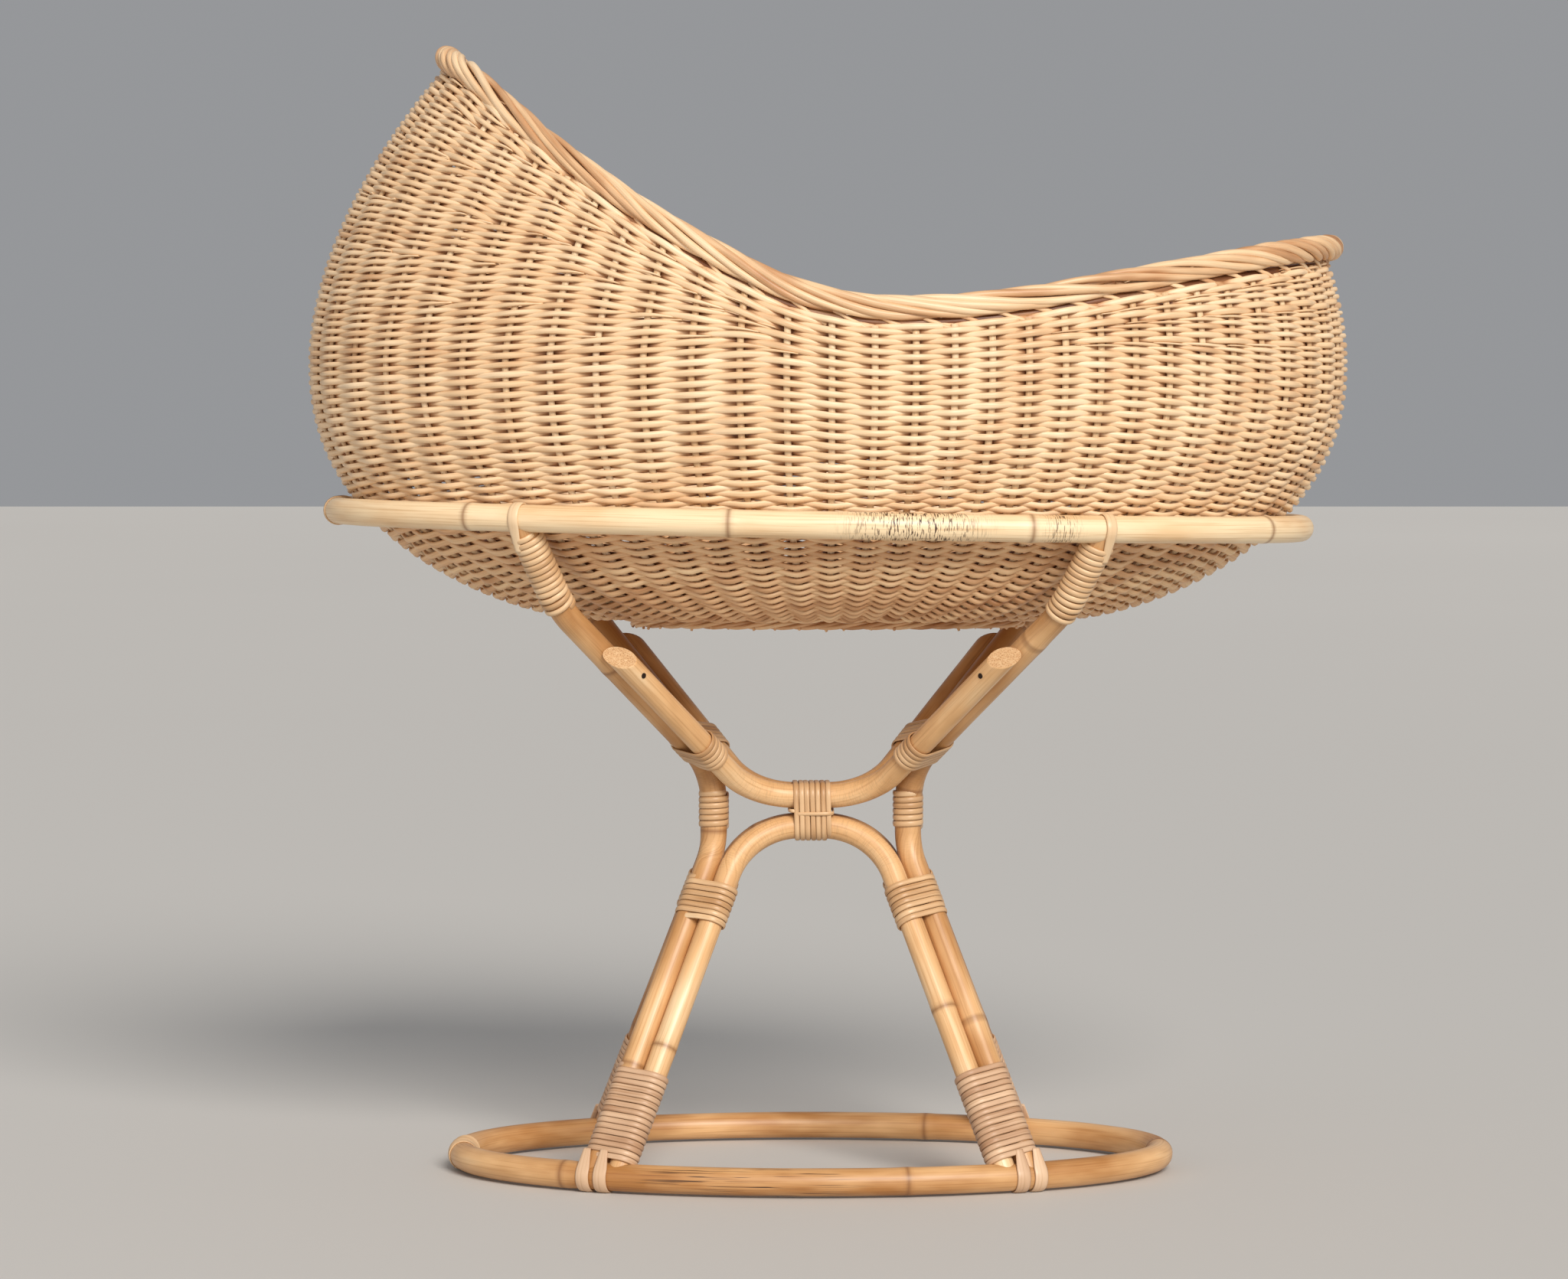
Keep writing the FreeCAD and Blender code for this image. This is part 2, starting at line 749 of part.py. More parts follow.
def make_leg(side, face, where, rooms, bores):
    """One leg, coped to both hoops."""
    points = leg_points(side, face)
    foot, low, high, knee, head = points
    start = foot + unit(low - foot) * (base_hoop_radius * cope_share)
    bends = (lower_bend_radius, waist_bend_radius, knee_bend_radius)
    leg = tube(bent_path([start, low, high, knee, head], bends), leg_diameter)
    for taken in rooms + bores:
        leg = leg.cut(taken)
    export("leg_" + where, leg)


def make_arch(face, face_name, room, bores):
    """One arch, coped to the base hoop at both feet."""
    left_foot, left_corner, right_corner, right_foot = arch_points(face)
    start = left_foot + unit(left_corner - left_foot) * (base_hoop_radius * cope_share)
    end = right_foot + unit(right_corner - right_foot) * (base_hoop_radius * cope_share)
    path = bent_path([start, left_corner, right_corner, end], (arch_bend_radius, arch_bend_radius))
    arch = tube(path, arch_diameter).cut(room)
    for bore in bores:
        arch = arch.cut(bore)
    export("arch_" + face_name, arch)


def make_brace(face, face_name, bores):
    """One brace, with both ends sawn on a slant that faces out and up."""
    left_corner, left_end = brace_arm(-1, face)
    right_corner, right_end = brace_arm(1, face)
    start = left_end + unit(left_end - left_corner) * brace_diameter
    end = right_end + unit(right_end - right_corner) * brace_diameter
    path = bent_path([start, left_corner, right_corner, end], (brace_bend_radius, brace_bend_radius))
    brace = tube(path, brace_diameter)
    inward_share, outward_share, upward_share = brace_cut_shares
    for side, tip in ((-1, left_end), (1, right_end)):
        normal = unit(Vector(-side * inward_share, face * outward_share, upward_share))
        brace = brace.cut(rod(tip, normal, 2 * brace_diameter, 4 * brace_diameter))
    for bore in bores:
        brace = brace.cut(bore)
    export("brace_" + face_name, brace)


def bind_corner(side, face, where):
    """Straps and peel at one leg: on the hoop, beside the brace, beside the arch and at the foot."""
    leg = leg_points(side, face)
    foot, low, high, knee, head = leg
    arch = arch_points(face)
    arch_foot, arch_corner = (arch[0], arch[1]) if side < 0 else (arch[3], arch[2])
    brace_corner, brace_end = brace_arm(side, face)
    lower_run = unit(low - foot)
    upper_run = unit(knee - high)
    arch_run = unit(arch_corner - arch_foot)
    brace_run = unit(brace_end - brace_corner)

    head_heading = oval_heading(support_oval, head)
    head_tail = support_hoop_radius + strap_show
    export("hoop_strap_" + where, strap(head, head_heading, head - knee, head_strap_radius, head_tail))
    wind_leg_head("head_coil_" + where, leg, head_tail + 2 * contact_gap + peel_radius)

    beside_waist = brace_corner + brace_run * (high - brace_corner).dot(brace_run)
    thick = max(leg_radius, brace_radius)
    pair = ((high, upper_run), (beside_waist, brace_run))
    wind_pair("upper_binding_" + where, *pair, upper_binding_reach, thick, upper_binding_turns)

    thick = max(leg_radius, arch_radius)
    pair = ((foot, lower_run), (arch_foot, arch_run))
    reach = (low - foot).Length - lower_binding_reach
    wind_pair("lower_binding_" + where, *pair, reach, thick, lower_binding_turns)

    foot_tail = base_hoop_radius + strap_show
    export("foot_straps_" + where, foot_straps(side, face, -lower_run, foot_tail))
    reach = foot_tail + contact_gap + peel_radius + foot_binding_turns * peel_pitch / 2
    wind_pair("foot_binding_" + where, *pair, reach, thick, foot_binding_turns)


def bind_waist(side, side_name):
    """Peel round the front and back legs where they touch."""
    foot, low, high, knee, _ = leg_points(side, -1)
    lower_turn = (low - foot).getAngle(upright)
    upper_turn = (knee - high).getAngle(upright)
    reach = waist_binding_turns * peel_pitch / 2 + peel_radius
    half_waist = (waist_high - waist_low) / 2
    loose = max(
        sag(reach, half_waist, lower_turn, lower_bend_radius),
        sag(reach, half_waist, upper_turn, waist_bend_radius),
    )
    bend = leg_radius + contact_gap + peel_radius + loose
    centre = Vector(high.x, 0, (waist_low + waist_high) / 2)
    half_across = waist_depth + bend
    deep = Vector(0, 1, 0)
    wind("waist_binding_" + side_name, centre, upright, deep, half_across, bend, bend,
         waist_binding_turns, peel_pitch, peel_diameter)


def bind_centre():
    """Peel round the crowns of both braces and both arches, and a lash drawn round it between them."""
    half_length = centre_binding_turns * centre_pitch / 2
    brace_corner, brace_end = brace_arm(1, -1)
    _, _, arch_corner, arch_foot = arch_points(-1)
    crossways = Vector(1, 0, 0)
    brace_turn = (brace_end - brace_corner).getAngle(crossways)
    arch_turn = (arch_foot - arch_corner).getAngle(crossways)
    reach = half_length + peel_radius
    loose = max(
        sag(reach, brace_corner.x - stand_axis_x, brace_turn, brace_bend_radius),
        sag(reach, arch_corner_spread, arch_turn, arch_bend_radius),
    )
    bend = max(brace_radius, arch_radius) + contact_gap + peel_radius
    half_across = max(brace_depth, arch_depth) + bend + loose
    half_deep = (brace_crown_height - arch_crown_height) / 2 + bend + loose
    centre = Vector(stand_axis_x, 0, (brace_crown_height + arch_crown_height) / 2)
    wind("centre_binding", centre, crossways, Vector(0, 1, 0), half_across, half_deep, bend,
         centre_binding_turns, centre_pitch, peel_diameter)
    lash_offset = peel_radius + contact_gap + lash_diameter / 2
    wind("centre_lash", centre, upright, crossways, half_length + lash_offset, half_across + lash_offset,
         lash_corner_radius, 1, lash_pitch, lash_diameter)


def make_stand():
    """Hoops, legs, braces, arches and nails, then every binding."""
    support_path = oval_path(support_oval)
    base_path = oval_path(base_oval)
    support_room = tube(support_path, support_hoop_diameter + 2 * contact_gap)
    base_room = tube(base_path, base_hoop_diameter + 2 * contact_gap)
    support_hoop = tube(support_path, support_hoop_diameter)
    base_hoop = tube(base_path, base_hoop_diameter)
    hoop_nails = []
    foot_nails = []
    brace_nails = []
    for face_name, face in faces.items():
        arch = arch_points(face)
        arch_bores = []
        brace_bores = []
        for side_name, side in sides.items():
            where = face_name + "_" + side_name
            foot, low, high, knee, head = leg_points(side, face)
            arch_foot, arch_corner = (arch[0], arch[1]) if side < 0 else (arch[3], arch[2])
            brace_corner, brace_end = brace_arm(side, face)
            upper_run = unit(knee - high)
            nailed = brace_end - unit(brace_end - brace_corner) * brace_nail_setback
            to_leg = high - nailed
            to_leg = unit(to_leg - upper_run * to_leg.dot(upper_run))
            head_nail, head_bore = nail_and_bore(head, unit(knee - head), support_hoop_radius)
            leg_nail, leg_bore = nail_and_bore(foot, unit(low - foot), base_hoop_radius)
            arch_nail, arch_bore = nail_and_bore(arch_foot, unit(arch_corner - arch_foot), base_hoop_radius)
            brace_nail, brace_bore = nail_and_bore(nailed, to_leg, brace_radius)
            hoop_nails.append(head_nail)
            foot_nails += [leg_nail, arch_nail]
            brace_nails.append(brace_nail)
            arch_bores.append(arch_bore)
            brace_bores.append(brace_bore)
            support_hoop = support_hoop.cut(head_bore)
            base_hoop = base_hoop.cut(leg_bore).cut(arch_bore)
            make_leg(side, face, where, [support_room, base_room], [head_bore, leg_bore, brace_bore])
            bind_corner(side, face, where)
        make_arch(face, face_name, base_room, arch_bores)
        make_brace(face, face_name, brace_bores)
    export("support_hoop", support_hoop)
    export("base_hoop", base_hoop)
    export("hoop_nails", Part.makeCompound(hoop_nails))
    export("foot_nails", Part.makeCompound(foot_nails))
    export("brace_nails", Part.makeCompound(brace_nails))
    for side_name, side in sides.items():
        bind_waist(side, side_name)
    bind_centre()
    wind_hoop("hoop_joint_thread", support_oval, support_hoop_radius, hoop_joint_turns)
    wind_hoop("base_joint_thread", base_oval, base_hoop_radius, base_joint_turns)


os.makedirs("parts", exist_ok=True)
make_basket()
make_stand()
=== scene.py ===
# %% [markdown]
# # A wicker cradle on a bound cane stand
#
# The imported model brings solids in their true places. This lesson dresses them: the closed wall of the
# basket becomes rods that really go over and under each other, the canes get their joints and grain, and
# each binding becomes a strand of flat peel. All sizes are in millimetres until a mesh is made.

# %% Load the frame
import bpy
import math
import numpy as np
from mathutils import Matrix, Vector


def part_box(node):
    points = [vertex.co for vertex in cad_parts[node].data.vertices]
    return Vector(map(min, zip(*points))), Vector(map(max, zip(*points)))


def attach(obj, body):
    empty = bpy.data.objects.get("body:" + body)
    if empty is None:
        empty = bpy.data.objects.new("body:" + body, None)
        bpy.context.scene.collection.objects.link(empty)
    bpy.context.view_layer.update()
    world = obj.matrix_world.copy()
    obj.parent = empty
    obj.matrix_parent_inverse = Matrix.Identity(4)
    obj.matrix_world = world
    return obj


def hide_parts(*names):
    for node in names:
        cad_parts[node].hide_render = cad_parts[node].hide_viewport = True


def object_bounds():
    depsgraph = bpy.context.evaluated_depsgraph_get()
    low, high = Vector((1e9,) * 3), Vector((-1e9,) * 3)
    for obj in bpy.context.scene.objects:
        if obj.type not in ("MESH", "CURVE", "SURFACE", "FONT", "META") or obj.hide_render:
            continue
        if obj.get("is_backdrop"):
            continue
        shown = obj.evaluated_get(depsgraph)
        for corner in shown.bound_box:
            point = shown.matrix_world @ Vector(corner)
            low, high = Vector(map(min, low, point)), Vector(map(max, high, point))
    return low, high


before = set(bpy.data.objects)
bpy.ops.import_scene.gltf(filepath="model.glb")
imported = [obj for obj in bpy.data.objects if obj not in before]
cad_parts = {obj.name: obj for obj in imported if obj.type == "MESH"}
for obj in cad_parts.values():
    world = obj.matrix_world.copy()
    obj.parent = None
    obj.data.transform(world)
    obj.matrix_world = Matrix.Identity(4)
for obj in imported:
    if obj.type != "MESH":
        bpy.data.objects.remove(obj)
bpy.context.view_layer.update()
millimetre = 0.001
full_turn = 2 * math.pi
up = np.array([0, 0, 1.0])
scene = bpy.context.scene
dice = np.random.default_rng(41)

# %% [markdown]
# ## Rods
#
# Nearly everything here is a rod, cane or strip that follows a line. A curve object with a bevel could draw
# one, but tens of thousands of bends are quicker as plain arrays, and an array can also carry marks for the
# materials. A bundle gathers rods into one mesh. Each point keeps its place on the straightened rod, so that
# grain can follow a bend.

# %% A bundle of rods
mark_names = ("tint", "ring", "crack", "split")


def unit(vectors):
    """The directions of vectors."""
    return vectors / np.linalg.norm(vectors, axis=-1, keepdims=True)


def square_to(along, vectors):
    """The directions of vectors without what runs along another direction."""
    return unit(vectors - along * np.sum(vectors * along, -1, keepdims=True))


def along_path(path):
    """The distance of each point of a path from its start."""
    steps = np.linalg.norm(np.diff(path, axis=0), axis=1)
    return np.concatenate([[0.0], np.cumsum(steps)])


def place_object(name, data):
    """A new object of the scene."""
    made = bpy.data.objects.new(name, data)
    scene.collection.objects.link(made)
    return made


def turned_to(angle, first, second):
    """Directions at some angles from a first direction towards a second."""
    return first * np.cos(angle)[:, None] + second * np.sin(angle)[:, None]


class Bundle:
    """Rods that become one mesh, with marks on their points."""

    def __init__(self):
        self.places, self.faces, self.caps, self.count = [], [], [], 0
        self.marks = {name: [] for name in ("straight",) + mark_names}

    def sweep(self, path, outward, across, deep, sides=8, closed=False, cut=None, **marks):
        """Add a rod along path. It is across wide and deep thick each way, with deep along outward."""
        path = np.asarray(path, float)
        count = len(path)
        steps = np.roll(path, -1, 0) - np.roll(path, 1, 0) if closed else np.gradient(path, axis=0)
        ahead = unit(steps)
        outward = square_to(ahead, np.broadcast_to(np.asarray(outward, float), path.shape))
        aside = np.cross(ahead, outward)
        angle = full_turn * np.arange(sides) / sides
        high = np.broadcast_to(deep, count)[:, None] * np.cos(angle)
        wide = np.broadcast_to(across, count)[:, None] * np.sin(angle)
        points = path[:, None] + outward[:, None] * high[..., None] + aside[:, None] * wide[..., None]
        if cut is not None:
            points = cut(points, path, ahead)
        way = np.broadcast_to(along_path(path)[:, None], high.shape)
        here = self.count + np.arange(count * sides).reshape(count, sides)
        beside = np.roll(here, -1, 1)
        quads = np.stack([here, beside, np.roll(beside, -1, 0), np.roll(here, -1, 0)], -1)
        self.faces.append(quads[:None if closed else -1].reshape(-1, 4))
        if not closed:
            self.caps += [here[0, ::-1].tolist(), here[-1].tolist()]
        self.places.append(points.reshape(-1, 3))
        self.marks["straight"].append(np.stack([high, wide, way], -1).reshape(-1, 3))
        for name in mark_names:
            value = np.broadcast_to(marks.get(name, 0.0), count)
            self.marks[name].append(np.repeat(value, sides))
        self.count += count * sides
        return self

    def build(self, name, body, materials, stands_for=(), slot="wicker"):
        """Make the mesh, give it its marks and set it riding on its body."""
        mesh = bpy.data.meshes.new(name)
        quads = np.concatenate(self.faces)
        mesh.from_pydata(np.concatenate(self.places) * millimetre, [], quads.tolist() + self.caps)
        for mark, values in self.marks.items():
            kind, field = ("FLOAT_VECTOR", "vector") if mark == "straight" else ("FLOAT", "value")
            layer = mesh.attributes.new(mark, kind, "POINT")
            layer.data.foreach_set(field, np.concatenate(values).astype(np.float32).ravel())
        smooth = np.ones(len(mesh.polygons), bool)
        smooth[len(quads):] = False
        mesh.polygons.foreach_set("use_smooth", smooth)
        for material in materials:
            mesh.materials.append(material)
        if len(materials) > 1:
            mesh.polygons.foreach_set("material_index", (~smooth).astype(np.int32))
        mesh.update()
        made = place_object(name, mesh)
        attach(made, body)
        if stands_for:
            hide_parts(*stands_for)
        print(name, "has", 2 * len(quads), "triangles")


# %% [markdown]
# ## Materials
#
# Everything is rattan or a wicker rod under a thin varnish, so each material is a satin wood: IOR near 1.5,
# no metal, a roughness between 0.3 and 0.6. What differs is the colour and the grain. The grain is noise on
# the straightened rod, long along it and short across it, so it bends with the cane.

# %% Colours and nodes
def colour(text):
    """A linear colour from an sRGB hex value."""
    shares = [int(text[place:place + 2], 16) / 255 for place in (1, 3, 5)]
    return tuple(x / 12.92 if x <= 0.04045 else ((x + 0.055) / 1.055) ** 2.4 for x in shares) + (1.0,)


def add(tree, kind, inputs=None, stops=None, **settings):
    """Add a node with its settings, its colour stops and what goes into its sockets."""
    made = tree.nodes.new("ShaderNode" + kind)
    for name, value in settings.items():
        setattr(made, name, value)
    for socket, value in (inputs or {}).items():
        if isinstance(value, bpy.types.NodeSocket):
            tree.links.new(value, made.inputs[socket])
        else:
            made.inputs[socket].default_value = value
    if stops:
        ramp = made.color_ramp.elements
        while len(ramp) < len(stops):
            ramp.new(1.0)
        for element, (place, value) in zip(ramp, stops):
            element.position = place
            element.color = value
    return made


def new_material(name):
    """A material without nodes, and its tree."""
    material = bpy.data.materials.new(name)
    material.use_nodes = True
    material.node_tree.nodes.clear()
    return material, material.node_tree


def surface(tree, inputs):
    """Add the shader, with what goes into it, and the output."""
    shader = add(tree, "BsdfPrincipled", inputs)
    add(tree, "OutputMaterial", {"Surface": shader.outputs["BSDF"]})


# %% Grain
white, black = colour("#FFFFFF"), colour("#000000")
noise_middle = 0.5
fibre_depth = 0.3 * millimetre


def grain(tree, width, length, detail=4.0):
    """Noise on the straightened rod, with streaks of a width and a length in millimetres."""
    straight = add(tree, "Attribute", attribute_name="straight")
    size = (1 / width, 1 / width, 1 / length)
    scaled = add(tree, "VectorMath", {0: straight.outputs["Vector"], 1: size}, operation="MULTIPLY")
    noise = add(tree, "TexNoise", {"Vector": scaled.outputs[0], "Scale": 1.0, "Detail": detail})
    return noise.outputs["Fac"]


def shaded(tree, patch, streak, shades, fibres, fibre_share):
    """A colour that the tint mark and soft patches choose, darkened by fibres along the rod."""
    tint = add(tree, "Attribute", attribute_name="tint")
    shade = add(tree, "Math", {0: tint.outputs["Fac"], 1: patch}, operation="ADD")
    shade = add(tree, "Math", {0: shade.outputs[0], 1: noise_middle}, operation="SUBTRACT")
    body = add(tree, "ValToRGB", {"Fac": shade.outputs[0]}, shades)
    fibre = add(tree, "ValToRGB", {"Fac": streak}, fibres)
    inputs = {0: fibre_share, 6: body.outputs["Color"], 7: fibre.outputs["Color"]}
    return add(tree, "Mix", inputs, data_type="RGBA", blend_type="MULTIPLY").outputs[2]


def varnish(tree, skin, streak, relief, rough, coat=0.0):
    """The satin surface of varnished wood, with its fibres in relief."""
    bump = add(tree, "Bump", {"Height": streak, "Strength": relief, "Distance": fibre_depth})
    surface(tree, {"Base Color": skin, "Normal": bump.outputs["Normal"], "Roughness": rough, "IOR": 1.5,
                   "Coat Weight": coat, "Coat Roughness": 0.3})


# %% [markdown]
# ### Wicker rods
#
# The weavers are peeled rods of centre cane: satin, fibrous and each of its own shade, from pale straw to a
# honey tan. The tint mark says how dark a rod is and also carries shade painted where a rod dives behind a
# stake; fine streaks along it break the colour up.

# %% Wicker
def make_wicker(name, pale, middle, deep):
    """Centre cane: satin and fibrous; its last, dark brown stop is painted shade."""
    material, tree = new_material(name)
    streak = grain(tree, width=0.9, length=26.0)
    patch = grain(tree, width=14.0, length=70.0, detail=2.0)
    # The last stop, a dark brown, is painted shade, reached by rods where they dive behind a stake and by the
    # tucked rod under the border.
    shades = [(0.15, colour(pale)), (0.5, colour(middle)), (0.8, colour(deep)), (1.0, colour("#7A4A28"))]
    fibres = [(0.3, colour("#E2D7CB")), (0.55, white)]
    skin = shaded(tree, patch, streak, shades, fibres, 0.6)
    varnish(tree, skin, streak, relief=0.3, rough=0.42)
    return material


wicker = make_wicker("centre_cane_rod", "#F8DDB8", "#EBC79C", "#C8966A")
# A darker copy of the rod, painted as shade, for the rows under the hoop, the base and the wale.
painted_shade_wicker = make_wicker("centre_cane_rod_unlit_side", "#F8D6A8", "#E6B98A", "#B47C4C")
stake_wicker = make_wicker("centre_cane_stake", "#F6DFBE", "#EDD0A6", "#CFA676")
print("wicker materials made")

# %% [markdown]
# ### Whole cane and split peel
#
# Whole rattan keeps its skin, which is glossy and straw yellow with long brown streaks. At each joint of the
# plant a ring shows, tight bends craze the skin crosswise, and a dried cane splits along its length. Peel is
# the same skin split off and wound, and it is duller where it is worn.

# %% Cane
# Each kind of line has its mark, the width and length of its noise and how much of the noise it takes.
line_marks = (("crack", 8.0, 0.9, 0.42), ("split", 1.1, 70.0, 0.36))
line_blur = 0.04
dull_patch = 0.14


def make_cane(name, pale, middle, deep, ring_shade, gloss):
    """Rattan with its skin on: glossy, streaked, ringed at its joints and crazed in its bends."""
    material, tree = new_material(name)
    streak = grain(tree, width=1.6, length=90.0)
    patch = grain(tree, width=30.0, length=110.0, detail=3.0)
    shades = [(0.2, colour(pale)), (0.52, colour(middle)), (0.85, colour(deep))]
    fibres = [(0.32, colour("#CEB899")), (0.5, white)]
    skin = shaded(tree, patch, streak, shades, fibres, 0.5)
    ring = add(tree, "Attribute", attribute_name="ring")
    inputs = {0: ring.outputs["Fac"], 6: skin, 7: colour(ring_shade)}
    skin = add(tree, "Mix", inputs, data_type="RGBA").outputs[2]
    for mark, width, length, edge in line_marks:
        stops = [(edge, white), (edge + line_blur, black)]
        lines = add(tree, "ValToRGB", {"Fac": grain(tree, width, length, detail=2.0)}, stops)
        marked = add(tree, "Attribute", attribute_name=mark)
        inputs = {0: lines.outputs["Color"], 1: marked.outputs["Fac"]}
        share = add(tree, "Math", inputs, operation="MULTIPLY", use_clamp=True)
        inputs = {0: share.outputs[0], 6: skin, 7: colour("#3F2410")}
        skin = add(tree, "Mix", inputs, data_type="RGBA").outputs[2]
    stops = [(0.3, (gloss,) * 3 + (1,)), (0.7, (gloss + dull_patch,) * 3 + (1,))]
    rough = add(tree, "ValToRGB", {"Fac": patch}, stops)
    varnish(tree, skin, streak, relief=0.15, rough=rough.outputs["Color"], coat=0.2)
    return material


cane = make_cane("rattan_cane_varnished", "#F5DBB2", "#E3B681", "#AE773E", "#84552E", 0.4)
peel = make_cane("split_rattan_peel", "#F2D9B4", "#E2BF94", "#B88C5E", "#8A5A30", 0.38)
foot_peel = make_cane("split_rattan_peel_worn", "#EACFB2", "#DAB896", "#B58D6C", "#6A4426", 0.46)
print("cane and peel materials made")

# %% [markdown]
# ### Sawn ends and nails
#
# A sawn cane shows pale pith full of pores, and a nail is dull dark iron. Cells of a Voronoi pattern make the
# pores, about half a millimetre apart on the real end and drawn at twice that to show.

# %% End grain and iron
end_grain, tree = new_material("sawn_rattan_pith")
straight = add(tree, "Attribute", attribute_name="straight")
pores = add(tree, "TexVoronoi", {"Vector": straight.outputs["Vector"], "Scale": 1.0})
stops = [(0.12, colour("#8E6238")), (0.35, colour("#C99E70")), (1.0, colour("#DABC92"))]
pith = add(tree, "ValToRGB", {"Fac": pores.outputs["Distance"]}, stops)
surface(tree, {"Base Color": pith.outputs["Color"], "Roughness": 0.8})

iron, tree = new_material("oxidised_iron_nail")
rust = add(tree, "TexNoise", {"Scale": 900.0, "Detail": 3.0})
stops = [(0.35, colour("#2A211C")), (0.7, colour("#4A3A30"))]
skin = add(tree, "ValToRGB", {"Fac": rust.outputs["Fac"]}, stops)
surface(tree, {"Base Color": skin.outputs["Color"], "Roughness": 0.6, "Metallic": 0.8})
for node_name in ("hoop_nails", "foot_nails"):
    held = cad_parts[node_name].data.materials
    held.clear()
    held.append(iron)
print("end grain and iron made")

# %% [markdown]
# ## The basket's form
#
# Level ovals swell from the base to the bulge and lean in above it. The weave needs a way to ask for the
# place and the outward direction at a distance up the wall, so the profile is tabled once with fine steps
# and read back between them.

# %% Profile of the wall
base_level, bulge_rise, head_rise = 472.0, 218.0, 257.0
base_reach = np.array([212.0, 114.0])
bulge_reach = np.array([443.0, 250.0])
lean_reach = np.array([121.0, 95.0])
swell_power, swell_root, lean_power = 2.3, 1.5, 1.85
profile_steps, past_head = 400, 1.1
bulge_level = base_level + bulge_rise
low_way = np.linspace(0, 1, profile_steps) ** 2
swell = (1 - (1 - low_way) ** swell_power) ** (1 / swell_root)
high_way = np.linspace(0, past_head, profile_steps)[1:]
profile_level = np.concatenate([base_level + bulge_rise * low_way, bulge_level + head_rise * high_way])
low_reach = base_reach + (bulge_reach - base_reach) * swell[:, None]
high_reach = bulge_reach - lean_reach * (high_way ** lean_power)[:, None]
profile_reach = np.concatenate([low_reach, high_reach])
profile_place = np.arange(len(profile_level), dtype=float)
profile_columns = (*profile_reach.T, *np.gradient(profile_reach, axis=0).T, profile_level,
                   np.gradient(profile_level))
print("wall swells from", base_reach, "to", bulge_reach, "mm each way")


def wall_at(angle, place, inset):
    """Points and outward directions on the wall, inset from its outside."""
    cosine, sine = np.cos(angle), np.sin(angle)
    read = (np.interp(place, profile_place, column) for column in profile_columns)
    length, width, lengthening, widening, level, rise = read
    fall = length * widening * sine ** 2 + width * lengthening * cosine ** 2
    outward = unit(np.stack([width * cosine * rise, length * sine * rise, -fall], -1))
    point = np.stack([length * cosine, width * sine, level], -1)
    return point - outward * np.asarray(inset)[..., None], outward


# %% Line of the border
rim_low_x, rim_low_level, head_tip_x = 54.0, 732.0, -318.0
foot_radius, foot_angle = 700.0, math.radians(10.5)
dip_radius, dip_angle, head_radius = 254.0, math.radians(26.6), 936.0


def arc_rise(way, radius, angle):
    """How far an arc that starts level has risen at a way along, until it has turned by angle."""
    return radius - np.sqrt(radius ** 2 - np.minimum(way, radius * math.sin(angle)) ** 2)


def rim_level(x):
    """The height of the border's centreline at x."""
    way = np.maximum(x - rim_low_x, 0)
    past = np.maximum(way - foot_radius * math.sin(foot_angle), 0)
    foot = arc_rise(way, foot_radius, foot_angle) + past * math.tan(foot_angle)
    way = np.maximum(rim_low_x - x, 0)
    past = np.maximum(way - dip_radius * math.sin(dip_angle), 0)
    head_way = past + head_radius * math.sin(dip_angle)
    head = head_radius * math.cos(dip_angle) - np.sqrt(np.maximum(head_radius ** 2 - head_way ** 2, 1))
    return rim_low_level + foot + arc_rise(way, dip_radius, dip_angle) + head


print("border from", rim_level(rim_low_x), "up to", float(rim_level(head_tip_x)), "mm")

# %% The two hoops
class Hoop:
    """An oval hoop of the frame, whose level drops towards the foot end."""

    def __init__(self, node, radius, drop=0.0):
        low, high = (np.array(corner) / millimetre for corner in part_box(node))
        self.centre, self.reach = (low + high) / 2, (high - low)[:2] / 2 - radius
        self.radius, self.drop = radius, drop

    def point(self, x, face):
        """A point of the centreline at x, on the front or the back."""
        off = x - self.centre[0]
        depth = self.reach[1] * math.sqrt(1 - (off / self.reach[0]) ** 2)
        return self.centre + (off, face * depth, -off * self.drop)

    def heading(self, point):
        """The way that the hoop runs at a point of its centreline."""
        off = point - self.centre
        level = -off[1] * self.reach[0] ** 2
        return unit(np.array([level, off[0] * self.reach[1] ** 2, -level * self.drop]))


support = Hoop("support_hoop", 11.25, 0.0187)
ground = Hoop("base_hoop", 11.5)
print("support hoop", support.reach.round(1), "base hoop", ground.reach.round(1))

# %% [markdown]
# ## Stakes and rows
#
# An odd number of stakes lets one weaver spiral up for ever and still change sides at each turn. They stand
# 31 mm apart at the foot end and 40 mm towards the head, where they also fan out as they rise, and one stands
# at each strap of the hoop. The wall is far taller at the head than at the dip, so pairs of short rows, out
# and back, are woven in near the top: the rows are level at the hoop and run along the border above.

# %% Places of the stakes
bends_per_gap = 8
stake_steps = 400
foot_gap, head_gap = 31.0, 40.0
widen_from, widen_over = 0.25, 0.45
head_x, head_spread = -14.0, 239.0


def stakes_between(start, end):
    """Angles of the stakes from start up to end, closer together towards the foot end."""
    edge = np.linspace(start, end, stake_steps + 1)
    middle = (edge[1:] + edge[:-1]) / 2
    widened = np.clip((widen_from - np.cos(middle)) / widen_over, 0, 1)
    gap = foot_gap + (head_gap - foot_gap) * widened
    run = np.hypot(bulge_reach[0] * np.sin(middle), bulge_reach[1] * np.cos(middle))
    passed = np.concatenate([[0], np.cumsum(run / gap) * (end - start) / stake_steps])
    count = round(passed[-1])
    return np.interp(np.arange(count) * passed[-1] / count, passed, edge)


def strap_angle(side):
    """The angle round the basket of the straps on one side."""
    return math.acos((head_x + side * head_spread - support.centre[0]) / support.reach[0])


